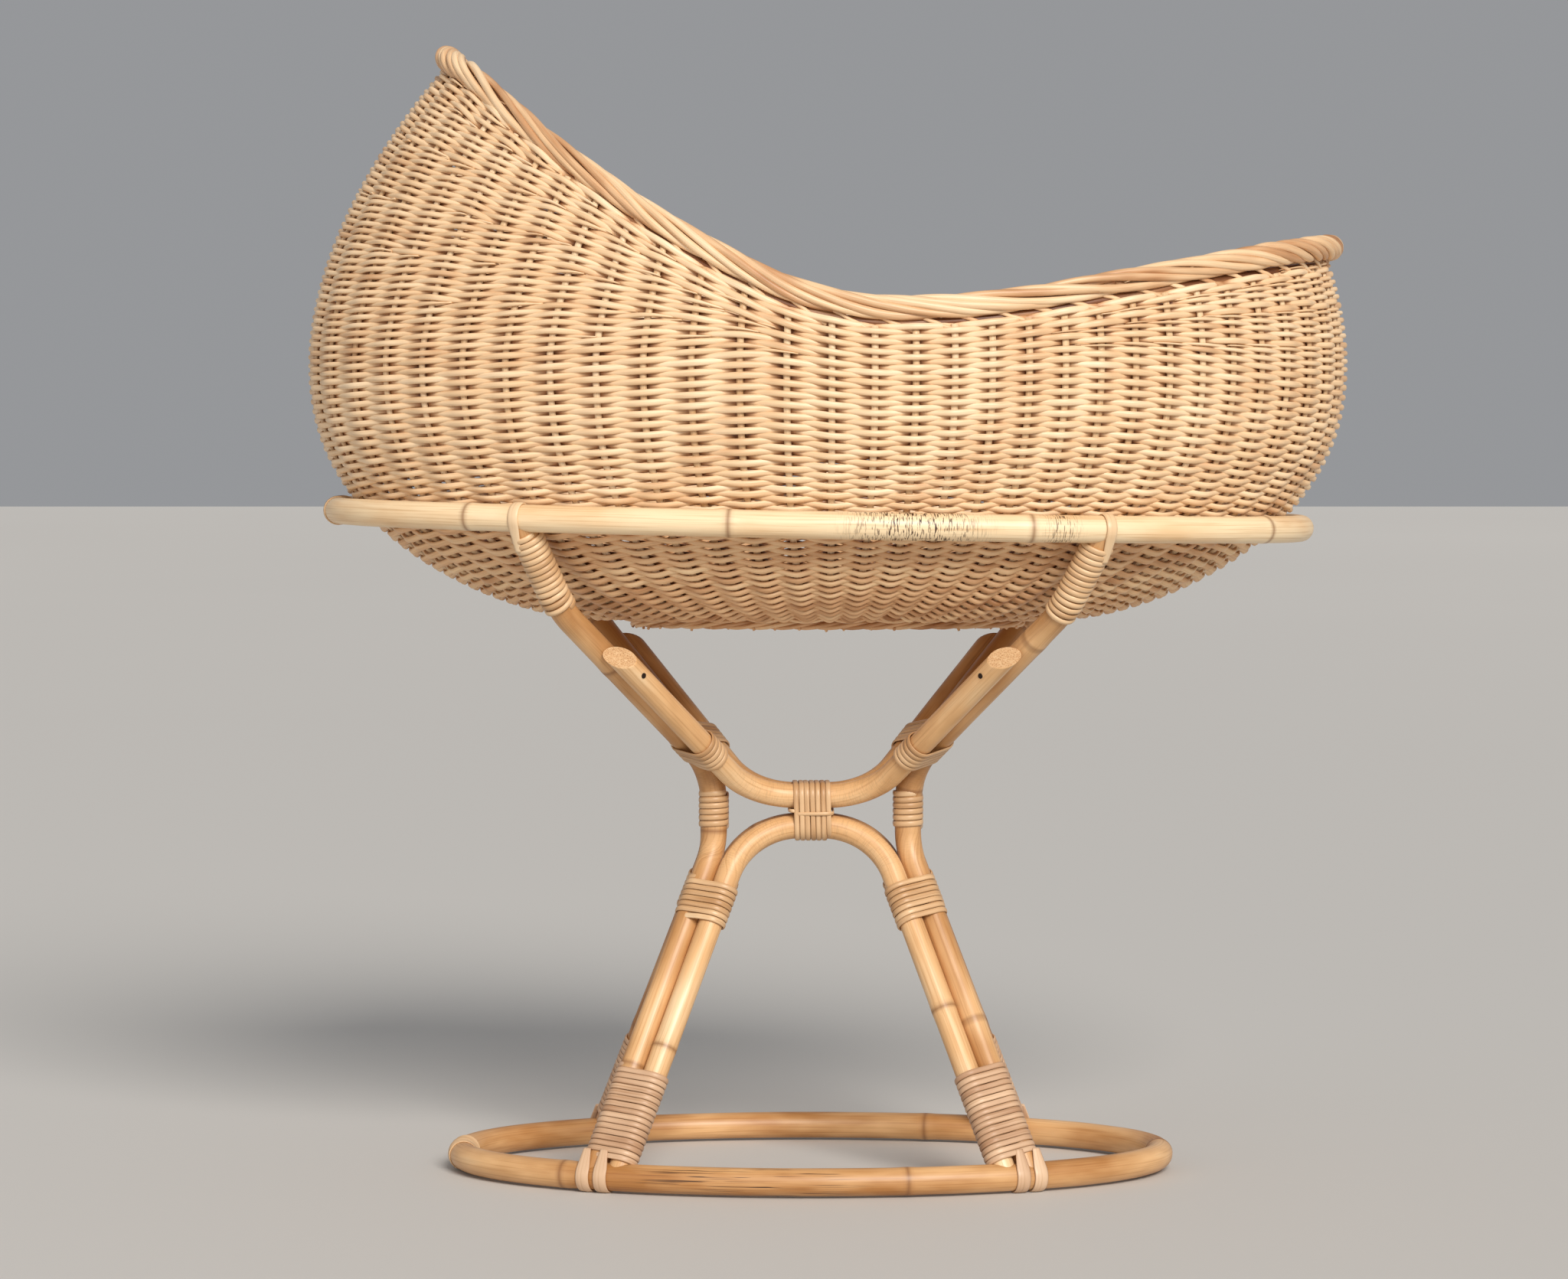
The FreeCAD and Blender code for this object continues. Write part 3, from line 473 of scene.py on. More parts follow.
foot_turn, head_turn = strap_angle(1), strap_angle(-1)
corners = (-foot_turn, foot_turn, head_turn, full_turn - head_turn, full_turn - foot_turn)
stake_angle = np.concatenate([stakes_between(start, end) for start, end in zip(corners, corners[1:])])
seam_angle = stake_angle[np.argmin(np.abs(stake_angle - math.pi / 2))]
stake_angle = np.sort(stake_angle - full_turn * (stake_angle > seam_angle))[::-1]
stake_count = len(stake_angle)
columns = stake_count * bends_per_gap
column_stake = np.arange(columns + 1) / bends_per_gap
closed_angle = np.append(stake_angle, seam_angle - full_turn)
column_angle = np.interp(column_stake, np.arange(stake_count + 1), closed_angle)
print(stake_count, "stakes")

# %% Fan of the stakes
fan_most, fan_power = 0.15, 1.3


def fanned(angle, place):
    """The angle of a stake at a place up the wall, spread out from the head end above the bulge."""
    rise = np.clip((np.interp(place, profile_place, profile_level) - bulge_level) / head_rise, 0, 1)
    return angle + fan_most * rise ** fan_power * np.sin(2 * angle) * (np.cos(angle) < 0)


# %% Heights up the wall
wall_middle = 5.9
hoop_level = 557.0
head_rim_gap, side_rim_gap = 7.0, 14.0
rim_gap = np.interp(np.cos(column_angle), (-0.9, -0.3), (head_rim_gap, side_rim_gap))
grid_place = np.broadcast_to(profile_place, (columns + 1, len(profile_place)))
grid, _ = wall_at(fanned(column_angle[:, None], grid_place), grid_place, wall_middle)
column_way = np.array([along_path(line) for line in grid])
column_hoop = np.array([np.interp(hoop_level, line[:, 2], way) for line, way in zip(grid, column_way)])
over = grid[..., 2] - rim_level(grid[..., 0])
high_part = slice(profile_steps, None)
column_top = np.array([np.interp(0, gap[high_part], way[high_part]) for gap, way in zip(over, column_way)])
print("wall is", column_top.min().round(), "mm up at the dip and", column_top.max().round(), "mm at the head")


def wall_points(columns_used, way, inset):
    """Points and outward directions at a way up the wall, one for each column."""
    ways = column_way[columns_used]
    place = np.array([np.interp(height, column, profile_place) for column, height in zip(ways, way)])
    return wall_at(fanned(column_angle[columns_used], place), place, inset)


# %% Rows of the weave
low_start = 1.0
low_pitch, high_pitch, short_pitch = 4.7, 4.1, 3.4
taper, taper_kept, least_start = 6.0, 0.6, 0.5
pairs_from, pairs_over = 0.8, 0.19
shortness_share, scatter_share, golden_share = 0.35, 0.65, 0.618
room = column_top - rim_gap - column_hoop
spare = room - room.min()
low_rows = round(np.mean(column_hoop - low_start) / low_pitch)
full_rows = round(room.min() / high_pitch)
at_head = np.cos(column_angle) < np.cos(column_angle[np.argmin(room)])


def pair_widths(spare_height):
    """How wide each pair of short rows is at each column. Each thins out over a long way."""
    wanted = spare_height / (2 * short_pitch)
    count = math.ceil(wanted.max()) + 1
    starts = np.arange(count) * max(wanted.max() - taper_kept * taper, least_start) / (count - 1)
    share = np.clip((wanted - starts[:, None]) / taper, 0, 1)
    return list(2 * short_pitch * share ** 2 * (3 - 2 * share))


halves = [pair_widths(np.where(half, spare, 0)) for half in (at_head, ~at_head)]
pairs = halves[0] + halves[1]
shortness = np.concatenate([np.linspace(0, 1, len(half)) for half in halves])
scatter = (golden_share * np.arange(len(pairs))) % 1
mixed_order = shortness_share * shortness + scatter_share * scatter
pair_after = (full_rows * (pairs_from + pairs_over * mixed_order)).astype(int)
rows = []
row_width = []
for full in range(full_rows):
    rows.append(("full", full))
    row_width.append(np.full(columns + 1, high_pitch))
    for pair in np.flatnonzero(pair_after == full):
        rows += [("out", full), ("back", full)]
        row_width += [pairs[pair] / 2, pairs[pair] / 2]
row_width = np.array(row_width)
row_width *= room / row_width.sum(0)
row_way = column_hoop + np.cumsum(row_width, 0) - row_width / 2
print(low_rows, "rows under the hoop,", full_rows, "full rows and", len(pairs), "short pairs above it")

# %% [markdown]
# ## Weaving
#
# A weaver's line is the wall's line moved out and in by a wave that turns at each stake. Rows that lie next
# to each other have opposite waves. The wave is sharper than a sine, so the rods bow out over the stakes and
# lie close between them. A rod is wider than its row, as cane is squeezed. Where it dives behind a stake its
# colour is painted darker as shade, more so in the rows under the hoop. Where the seam comes round, each row
# steps up into the next.

# %% Weave one run
swing, wave_sharp, low_push = 3.5, 0.6, 1.2
rod_deep, rod_swell, widest_row = 1.8, (1.32, 0.04), 5.0
wander_most, wander_reach = 1.0, 16
rod_columns, rod_shade = 200, (0.42, 0.09)
# Painted shade: how much darker a rod is painted where it dives behind a stake, and from how far behind.
painted_shade_behind, painted_shade_from = 0.85, 0.35
seam_columns = 2 * bends_per_gap
rows_each = {"low": 12, "full": 12, "short": 24}
bundles = {}


def soften(values, reach, closed=False):
    """Values smoothed along a path, over some of its steps."""
    weights = np.hanning(2 * reach + 3)[1:-1]
    weights = weights / weights.sum()
    padded = np.pad(values, (reach, reach), "wrap" if closed else "edge")
    return np.convolve(padded, weights, "valid")


def drift(count, spread, reach, closed=False):
    """Random values that change smoothly along a path."""
    return soften(dice.normal(0, spread, count), reach, closed)


def weave(kind, row, columns_used, way, width, side, pushed=1.0):
    """One weaver along some columns. Its wave starts on the side that is given."""
    count = len(columns_used)
    turned = side * np.cos(np.pi * column_stake[columns_used])
    turned = turned * np.abs(turned) ** wave_sharp
    wander = drift(count, wander_most, wander_reach)
    points, outward = wall_points(columns_used, way + wander, wall_middle - swing * pushed * turned)
    half = np.minimum(width, widest_row) / 2 * dice.normal(*rod_swell)
    lengths = max(2, count // rod_columns)
    shades = dice.normal(*rod_shade, lengths + 1)
    tint = np.interp(np.linspace(0, lengths, count), np.arange(lengths + 1), shades)
    # Painted shade: the tint rises where the rod dives behind a stake, and more in the pushed rows under the
    # hoop.
    tint = tint + painted_shade_behind * pushed ** 2 * np.clip(-turned - painted_shade_from, 0, 1)
    bundle = bundles.setdefault("weave_%s_%d" % (kind, row // rows_each[kind]), Bundle())
    bundle.sweep(points, outward, half, rod_deep, tint=tint)


# %% Rows under the hoop
all_columns = np.arange(columns + 1)
step_up = np.clip((all_columns - (columns - seam_columns)) / seam_columns, 0, 1)
low_width = (column_hoop - low_start) / low_rows
for row in range(low_rows):
    way = low_start + low_width * (row + 0.5 + step_up)
    weave("low", row, all_columns, way, low_width, (-1) ** row, low_push)

# %% Full rows above it
full_places = [index for index, (kind, _) in enumerate(rows) if kind == "full"]
way_after = [row_way[index] for index in full_places[1:]]
way_after.append(row_way[full_places[-1]] + row_width[full_places[-1]])
for full, (index, after) in enumerate(zip(full_places, way_after)):
    way = row_way[index] * (1 - step_up) + after * step_up
    weave("full", full, all_columns, way, row_width[index], (-1) ** (low_rows + full))

# %% Short rows
least_share, least_columns = 0.22, 2 * bends_per_gap
shorts = 0
for index, (kind, full) in enumerate(rows):
    if kind == "full":
        continue
    there = np.flatnonzero(row_width[index] > least_share * short_pitch)
    side = (-1) ** (low_rows + full + (1 if kind == "out" else 2))
    for run in np.split(there, np.flatnonzero(np.diff(there) > 1) + 1):
        if len(run) >= least_columns:
            weave("short", shorts, run, row_way[index][run], row_width[index][run], side)
            shorts += 1
for name, bundle in bundles.items():
    bundle.build(name, "basket", [painted_shade_wicker if name.startswith("weave_low") else wicker])
print(shorts, "short rows woven")

# %% Stakes
stake_across, stake_deep, stake_shade = 3.0, 1.8, (0.5, 0.1)
stake_start, stake_step = 2.0, 6.0
stakes = Bundle()
for stake in range(stake_count):
    column = stake * bends_per_gap
    way = np.arange(stake_start, column_top[column] - rim_gap[column], stake_step)
    points, outward = wall_points(np.full(len(way), column), way, wall_middle)
    stakes.sweep(points, outward, stake_across, stake_deep, sides=10, tint=dice.normal(*stake_shade))
stakes.build("stakes", "basket", [stake_wicker], ["basket_wall"])

# %% [markdown]
# ## Base and wale
#
# The base is woven the same way on an oval of spokes. A flat rod closes the corner where the wall turns up
# from it. Under its edge runs a wale, three rods laid up like a rope, and the trimmed ends of the stakes
# stick out below it.

# %% Base
spoke_count, spoke_steps, spoke_half, spoke_inset, spoke_shade = 35, 24, 2.0, 2.0, 0.4
base_start, base_margin, base_lift = 3.0, 2.5, 5.2
base_rod_share, base_rod_shade = 0.62, (0.5, 0.12)
base_columns = spoke_count * bends_per_gap
base_stake = np.arange(base_columns + 1) / bends_per_gap
base_angle = seam_angle - full_turn * base_stake / spoke_count
base_ridge = base_reach[0] - base_reach[1]
base_middle = base_level + base_lift
base = Bundle()


def base_points(angle, reach, lift):
    """Points on the base, reach out from its middle ridge."""
    return np.stack([(base_ridge + reach) * np.cos(angle), reach * np.sin(angle), base_middle - lift], -1)


base_room = base_reach[1] - base_start - base_margin
base_rows = round(base_room / low_pitch)
base_pitch = base_room / base_rows
base_step = np.clip((np.arange(base_columns + 1) - (base_columns - seam_columns)) / seam_columns, 0, 1)
for row in range(base_rows):
    wave = swing * (-1) ** row * np.cos(np.pi * base_stake)
    points = base_points(base_angle, base_start + base_pitch * (row + base_step), wave)
    base.sweep(points, -up, base_pitch * base_rod_share, rod_deep, tint=dice.normal(*base_rod_shade))
flat = np.zeros(spoke_steps)
ridge = np.stack([np.linspace(-base_ridge, base_ridge, spoke_steps), flat, flat + base_middle], -1)
base.sweep(ridge, -up, base_pitch, spoke_half, tint=spoke_shade)
reach = np.linspace(0, base_reach[1] - spoke_inset, spoke_steps)
for angle in base_angle[:-1:bends_per_gap]:
    base.sweep(base_points(flat + angle, reach, flat), -up, spoke_half, spoke_half, tint=spoke_shade)
base.build("woven_base", "basket", [painted_shade_wicker], ["basket_base"])

# %% Wale
low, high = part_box("basket_wale")
wale_radius = (high.z - low.z) / 2 / millimetre
wale_level = (high.z + low.z) / 2 / millimetre
wale_reach = np.array([high.x, high.y]) / millimetre - wale_radius
wale_rod, wale_open, wale_lay, wale_strands = 1.9, 0.8, 58.0, 3
wale_shade, wale_shade_step = 0.5, 0.15
corner_lift, corner_inset, corner_half = 1.0, 1.5, 4.5
trim_every, trim_half, trim_steps, trim_shade = 11, 1.2, 4, (0.6, 0.15)
trim_out, trim_down, trim_aside = (-1, 3), (2.5, 5.0), (-4, 4)
wale = Bundle()


def oval(centre, reach, angle, drop=0.0):
    """Points on an oval at some angles, with their outward directions. It drops towards the foot end."""
    x = reach[0] * np.cos(angle)
    points = centre + np.stack([x, reach[1] * np.sin(angle), -x * drop], -1)
    outward = unit(np.stack([reach[1] * np.cos(angle), reach[0] * np.sin(angle), np.zeros(len(angle))], -1))
    return points, outward


def round_angles(count):
    """Even angles all the way round."""
    return full_turn * np.arange(count) / count


wale_angle = round_angles(560)
corner_rod, _ = oval(up * (base_middle + corner_lift), base_reach - corner_inset, wale_angle)
wale.sweep(corner_rod, -up, corner_half, rod_deep, closed=True, tint=wale_shade)
middle, outward = oval(up * wale_level, wale_reach, wale_angle)
way = along_path(middle)
turns = round(way[-1] / wale_lay)
for strand in range(wale_strands):
    angle = full_turn * (turns * way / (way[-1] + way[1]) + strand / wale_strands)
    offset = turned_to(angle, outward, up)
    points = middle + offset * (wale_radius - wale_rod + wale_open)
    shade = wale_shade + wale_shade_step * (strand - 1)
    wale.sweep(points, offset, wale_rod, wale_rod, closed=True, tint=shade)
for spot in range(0, len(wale_angle), trim_every):
    tip = outward[spot] * dice.uniform(*trim_out) - up * dice.uniform(*trim_down)
    tip = tip + np.append(dice.uniform(*trim_aside, 2), 0)
    path = middle[spot] + np.linspace(0, 1, trim_steps)[:, None] * tip
    wale.sweep(path, outward[spot], trim_half, trim_half, tint=dice.normal(*trim_shade))
wale.build("woven_wale", "basket", [painted_shade_wicker], ["basket_wale"])

# %% [markdown]
# ## Border
#
# The stakes' ends are bent down along the rim and laid round it like a flattened rope: seven strands run
# slowly down over the outside and back up on the inside. The border is fullest at both ends of the basket,
# where it rolls outwards. Behind it each stake's end rises into the rope, and one rod stands for the ends
# that are tucked away there, so that no light shows through; it is painted in the darkest wicker colour, as
# shade under the border.

# %% Line of the plait
rim_count = 1150
head_roll_reach, foot_roll_x, foot_roll_reach = 14, 280, 145
foot_shift, head_shift, foot_sink, head_sink = 12.0, 5.0, 5.0, 4.0
rim_column = np.linspace(0, columns, rim_count, endpoint=False)
rim_angle = np.interp(rim_column, all_columns, column_angle)
top_place = [np.interp(top, way, profile_place) for top, way in zip(column_top, column_way)]
rim_place = np.interp(rim_column, all_columns, top_place)
rim_points, rim_outward = wall_at(fanned(rim_angle, rim_place), rim_place, wall_middle)
head_roll = np.exp(-((rim_points[:, 0] - rim_points[:, 0].min()) / head_roll_reach) ** 2)
foot_roll = np.clip((rim_points[:, 0] - foot_roll_x) / foot_roll_reach, 0, 1) ** 2
rim_points[:, 2] = rim_level(rim_points[:, 0])
ahead = unit(np.roll(rim_points, -1, 0) - np.roll(rim_points, 1, 0))
rim_outward = square_to(ahead, rim_outward)
rim_up = np.cross(rim_outward, ahead)
rim_up *= np.sign(rim_up[:, 2:3])
rim_shift = foot_shift * foot_roll + head_shift * head_roll
rim_points = rim_points + rim_outward * rim_shift[:, None]
rim_points = rim_points - rim_up * (head_sink * head_roll + foot_sink * foot_roll ** 2)[:, None]
way = along_path(rim_points)
print("border is", round(way[-1]), "mm round")

# %% Plait
lay_length, strands, knot_turns = 250.0, 7, 3
plait_high, plait_deep, plait_rod, plait_shade = 7.0, 4.3, 3.3, (0.54, 0.13)
phase_noise, phase_reach, thick_noise, thick_reach = 1.3, 50, 0.5, 40
foot_higher, head_higher, foot_deeper, head_deeper = 0.12, 0.1, 0.8, 1.2
high_share = 1 + foot_higher * foot_roll + head_higher * head_roll
deep_share = 1 + foot_deeper * foot_roll + head_deeper * head_roll
lays = round(way[-1] / lay_length)
knot = np.cumsum(foot_roll + head_roll)
border = Bundle()
for strand in range(strands):
    laid = lays * way / (way[-1] + way[1]) + strand / strands + knot_turns * knot / knot[-1]
    phase = full_turn * laid + phase_noise * drift(rim_count, 1, phase_reach, True)
    thick = plait_rod * (1 + thick_noise * drift(rim_count, 1, thick_reach, True))
    rise = plait_high * np.sin(phase) * high_share
    depth = plait_deep * np.cos(phase) * deep_share
    points = rim_points + rim_up * rise[:, None] + rim_outward * depth[:, None]
    border.sweep(points, rim_outward, thick, thick, sides=10, closed=True, tint=dice.normal(*plait_shade))

# %% Stake ends under the plait
tucked_inset, tucked_drop, tucked_across, tucked_deep = 3.5, 12.0, 3.4, 1.5
end_steps, end_overlap, end_inset, end_across, end_deep = 12, 6, 1.5, 1.9, 1.6
tucked_painted_shade, end_shade = 1.0, (0.55, 0.1)
tucked = rim_points - rim_outward * (rim_shift + tucked_inset)[:, None] - rim_up * tucked_drop
# Painted shade: the tucked rod takes the darkest wicker colour, for the shade under the border.
border.sweep(tucked, rim_outward, tucked_across, tucked_deep, closed=True, tint=tucked_painted_shade)
for stake in range(stake_count):
    column = stake * bends_per_gap
    spot = np.round((np.arange(end_steps) + column) * rim_count / columns).astype(int) % rim_count
    climb = np.linspace(-rim_gap[column] - end_overlap, 0, end_steps)
    inset = end_inset + rim_shift[spot] * np.linspace(1, 0, end_steps)
    points = rim_points[spot] + rim_up[spot] * climb[:, None] - rim_outward[spot] * inset[:, None]
    border.sweep(points, rim_outward[spot], end_across, end_deep, tint=dice.normal(*end_shade))
border.build("plaited_border", "basket", [wicker], ["rim_border"])

# %% [markdown]
# ## Canes
#
# The stand's canes follow the CAD model's straight runs and bends. Each is swept anew, so that its grain can
# follow it, with the ring of each joint swollen a little and the skin crazed where it was bent hardest.

# %% Sizes of the canes
leg_radius, brace_radius, arch_radius = 11.0, 10.3, 10.25
contact_gap, brace_gap = 0.3, 0.5
stand_x = -14.0
waist_spread, waist_low, waist_high = 83.0, 275.0, 343.0
knee_spread, knee_drop, knee_share = 206.6, 71.0, 0.85
foot_spread = 182.0
brace_crown, arch_crown = 321.0, 294.6
lower_bend, waist_bend, knee_bend, brace_bend, arch_bend = 60.0, 60.0, 80.0, 66.0, 64.0
brace_end_gap, brace_lead = 20.0, math.radians(35)
waist_depth = leg_radius + contact_gap / 2
brace_depth = brace_radius + contact_gap / 2
arch_depth = arch_radius + contact_gap / 2

# %% Points of the canes
def leg_points(side, face):
    """The five points of a leg from its foot to its head."""
    head = support.point(head_x + side * head_spread, face)
    knee_depth = waist_depth + (abs(head[1]) - waist_depth) * knee_share
    waist_x = stand_x + side * waist_spread
    return np.array([
        ground.point(stand_x + side * foot_spread, face),
        (waist_x, face * waist_depth, waist_low),
        (waist_x, face * waist_depth, waist_high),
        (stand_x + side * knee_spread, face * knee_depth, support.centre[2] - knee_drop),
        head,
    ])


def arch_arm(side, face):
    """The corner and the foot of one arm of an arch, which lies along the leg beside it."""
    foot, low = leg_points(side, face)[:2]
    heading = unit(low - foot)
    wanted = leg_radius + arch_radius + contact_gap
    step = wanted
    for _ in range(20):
        apart = ground.point(foot[0] - side * step, face) - foot
        step *= wanted / np.linalg.norm(np.cross(apart, heading))
    arch_foot = ground.point(foot[0] - side * step, face)
    corner_x = arch_foot[0] + heading[0] / heading[2] * (arch_crown - arch_foot[2])
    return np.array([corner_x, face * arch_depth, arch_crown]), arch_foot


def brace_arm(side, face):
    """The corner and the end of one arm of a brace."""
    waist, knee = leg_points(side, face)[2:4]
    run = knee - waist
    end_level = wale_level - wale_radius - brace_end_gap
    inward = square_to(unit(run), np.array([-side, 0.0, 0.0]))
    forward = np.cross(unit(run), inward)
    forward = forward * np.sign(forward[1] * face)
    apart = leg_radius + brace_radius + brace_gap
    offset = apart * (inward * math.cos(brace_lead) + forward * math.sin(brace_lead))
    end = waist + offset + run * ((end_level - waist[2] - offset[2]) / run[2])
    corner_x = end[0] - run[0] / run[2] * (end[2] - brace_crown)
    return np.array([corner_x, face * brace_depth, brace_crown]), end


# %% Bent lines
path_step = 3.0


def bent_path(points, radii):
    """Straight runs with a tangent arc at each inner point, and how hard it is bent at each place."""
    points = np.asarray(points, float)
    pieces, bends, here = [], [], points[0]

    def run_to(target):
        count = max(2, int(np.linalg.norm(target - here) / path_step))
        pieces.append(here + np.linspace(0, 1, count, endpoint=False)[:, None] * (target - here))
        bends.append(np.zeros(count))

    for before, corner, after, radius in zip(points, points[1:], points[2:], radii):
        arriving, leaving = unit(corner - before), unit(after - corner)
        turn = math.acos(np.clip(arriving.dot(leaving), -1, 1))
        setback = radius * math.tan(turn / 2)
        start = corner - arriving * setback
        run_to(start)
        inward = square_to(arriving, leaving)
        angle = np.linspace(0, turn, max(3, int(radius * turn / path_step)), endpoint=False)[:, None]
        pieces.append(start + radius * (arriving * np.sin(angle) + inward * (1 - np.cos(angle))))
        bends.append(np.full(len(angle), min(1.0, turn)))
        here = corner + leaving * setback
    run_to(points[-1])
    pieces.append(points[-1:])
    bends.append(np.zeros(1))
    return np.concatenate(pieces), np.concatenate(bends)


def arms_path(arm, face, bend):
    """The line of a brace or an arch: its left arm, its crown and its right arm."""
    (left_corner, left_end), (right_corner, right_end) = arm(-1, face), arm(1, face)
    return bent_path([left_end, left_corner, right_corner, right_end], (bend, bend))


# %% A cane's skin
cane_sides = 28
ring_width, ring_dark, ring_swell = 2.2, 0.75, 0.035
lump_reach, lump_share, crack_reach, ring_scatter = 16, 0.012, 5, 18
odd_heading = np.array([0.31, 0.22, 0.92])


def build_cane(kind, where, path, radius, rings, tint, bends=None, closed=False, cut=None, split=0.0,
               materials=(cane,)):
    """A whole cane with rings at some ways along it, in place of a node."""
    way = along_path(path)
    ring = np.zeros(len(path))
    swell = np.zeros(len(path))
    for place in rings:
        ring = np.maximum(ring, ring_dark * np.exp(-((way - place) / ring_width) ** 2))
        swell = np.maximum(swell, ring_swell * np.exp(-((way - place) / (3 * ring_width)) ** 2))
    lumps = drift(len(path), 1, lump_reach, closed)
    size = radius * (1 + lump_share * lumps / max(1e-6, np.abs(lumps).max()) + swell)
    crack = 0.0 if bends is None else soften(bends, crack_reach, closed)
    outward = np.cross(unit(np.gradient(path, axis=0)), up if closed else unit(odd_heading))
    marks = {"tint": tint, "ring": ring, "crack": crack, "split": split}
    rod = Bundle().sweep(path, outward, size, size, cane_sides, closed, cut, **marks)
    rod.build(kind + "_cane" + where, "stand", materials, [kind + where], "cane")


def random_rings(path, spacing):
    """Ways along a cane at which its joints come."""
    first = dice.uniform(0.2, 0.8) * spacing
    places = np.arange(first, along_path(path)[-1], spacing)
    return places + dice.normal(0, ring_scatter, len(places))


# %% Hoops
support_rings, base_rings, back_rings = (-294, -81, 162, 361), (-218, 63), (-180, 90, 300)
# The skin is crazed round these places along x, each with its half length, and split round another.
craze_spots, split_x, split_reach = ((68, 48), (186, 9)), -65, 85
support_shade, base_shade = 0.25, 0.7


def hoop_rings(path, front_x):
    """Ways along a hoop to its joints: those at some x on the front, and a few at the back."""
    way = along_path(path)
    spots = [(x, -1) for x in front_x] + [(x, 1) for x in back_rings]
    return [way[np.argmin(np.abs(path[:, 0] - x) + 1e3 * (path[:, 1] * face < 0))] for x, face in spots]


path, _ = oval(support.centre, support.reach, round_angles(900), support.drop)
crazed = sum(np.exp(-((path[:, 0] - x) / spread) ** 4) for x, spread in craze_spots)
build_cane("support_hoop", "", path, support.radius, hoop_rings(path, support_rings), support_shade,
           crazed * (path[:, 1] < 0), closed=True)
path, _ = oval(ground.centre, ground.reach, round_angles(640))
dried = np.exp(-((path[:, 0] - split_x) / split_reach) ** 4) * (path[:, 1] < 0)
build_cane("base_hoop", "", path, ground.radius, hoop_rings(path, base_rings), base_shade,
           closed=True, split=dried)

# %% Legs, arches and braces
sides = {"_left": -1, "_right": 1}
faces = {"_front": -1, "_back": 1}
face_shades = {"_front": 0.52, "_back": 0.66}
leg_darker, craze_share = 0.18, 0.12
leg_ring_gap, arch_ring_gap = 210, 230
# A sawn end faces a little inwards, forwards and up.
cut_shares = np.array([0.2, 0.75, 0.63])
cut_reach = 34.0


def slant(face):
    """A cut that shears both ends of a brace onto planes that face out and up."""
    def cut(points, path, ahead):
        way = along_path(path)
        for end, side in ((0, -1), (-1, 1)):
            normal = unit(cut_shares * (-side, face, 1))
            heading = ahead[end]
            share = np.clip(1 - np.abs(way - way[end]) / cut_reach, 0, 1)[:, None]
            off = np.sum((path[:, None] - points) * normal, -1) / heading.dot(normal)
            points = points + heading * (off * share)[..., None]
        return points
    return cut


leg_paths = {}
for face_name, face in faces.items():
    shade = face_shades[face_name]
    for side_name, side in sides.items():
        path, bends = bent_path(leg_points(side, face), (lower_bend, waist_bend, knee_bend))
        leg_paths[face_name + side_name] = path
        build_cane("leg", face_name + side_name, path, leg_radius, random_rings(path, leg_ring_gap),
                   shade + leg_darker, bends * craze_share)
    path, bends = arms_path(arch_arm, face, arch_bend)
    build_cane("arch", face_name, path, arch_radius, random_rings(path, arch_ring_gap), shade,
               bends * craze_share)
    path, bends = arms_path(brace_arm, face, brace_bend)
    build_cane("brace", face_name, path, brace_radius, (), shade, bends * craze_share, cut=slant(face),
               materials=(cane, end_grain))

# %% [markdown]
# ## Bindings
#
# Peel is a flat strip with a rounded back. Wound round two canes it lies on the rounded rectangle that holds
# both. A strand is one strip that climbs by its pitch at each turn and dives out of sight at both ends.

# %% Loops
peel_pitch, peel_across, peel_deep = 5.1, 2.4, 0.95
turn_points = 48
dive_turns, dive_deep = 0.12, 2.2
wander_share, peel_reach = 0.5, 20
peel_shade, peel_mottle, mottle_reach = 0.7, 0.12, 30


def build_peel(bundle, kind, where="", material=peel):
    """A binding as a piece of its own, in place of a node."""
    bundle.build(kind + "_peel" + where, "stand", [material], [kind + where], "peel")


def dive(turn, turns):
    """How far in a strand dives at some turns, near its two ends."""
    return dive_deep * (1 - np.minimum(np.minimum(turn, turns - turn) / dive_turns, 1))


def loop_at(turn, half_x, half_y, corner):
    """Places and outward directions on a rounded rectangle at some turns."""
    flat_x, flat_y, bend = half_x - corner, half_y - corner, math.pi * corner / 2
    breaks = np.cumsum([0] + [2 * flat_x, bend, 2 * flat_y, bend] * 2)
    way = (turn % 1.0) * breaks[-1]
    centre_x = np.interp(way, breaks, flat_x * np.array([-1, 1, 1, 1, 1, -1, -1, -1, -1]))
    centre_y = np.interp(way, breaks, flat_y * np.array([-1, -1, -1, 1, 1, 1, 1, -1, -1]))
    swung = np.interp(way, breaks, math.pi / 2 * np.array([-1, -1, 0, 0, 1, 1, 2, 2, 3]))
    return centre_x, centre_y, np.cos(swung), np.sin(swung)


def wind(centre_at, across, deep, half_x, half_y, corner, turns, pitch=peel_pitch,
         strip=(peel_across, peel_deep)):
    """A strand of peel round a rounded rectangle whose centre moves along an axis."""
    turn = np.linspace(0, turns, int(turns * turn_points) + 1)
    centre_x, centre_y, out_x, out_y = loop_at(turn, half_x, half_y, corner)
    reach = corner + strip[1] - dive(turn, turns)
    outward = across * out_x[:, None] + deep * out_y[:, None]
    points = np.array([centre_at(pitch * (value - turns / 2)) for value in turn])
    points = points + across * centre_x[:, None] + deep * centre_y[:, None] + outward * reach[:, None]
    wander = wander_share * drift(len(points), 1, peel_reach)
    points = points + np.cross(across, deep) * wander[:, None]
    tint = peel_shade + peel_mottle * drift(len(points), 2, mottle_reach)
    return Bundle().sweep(points, outward, *strip, sides=10, tint=tint)


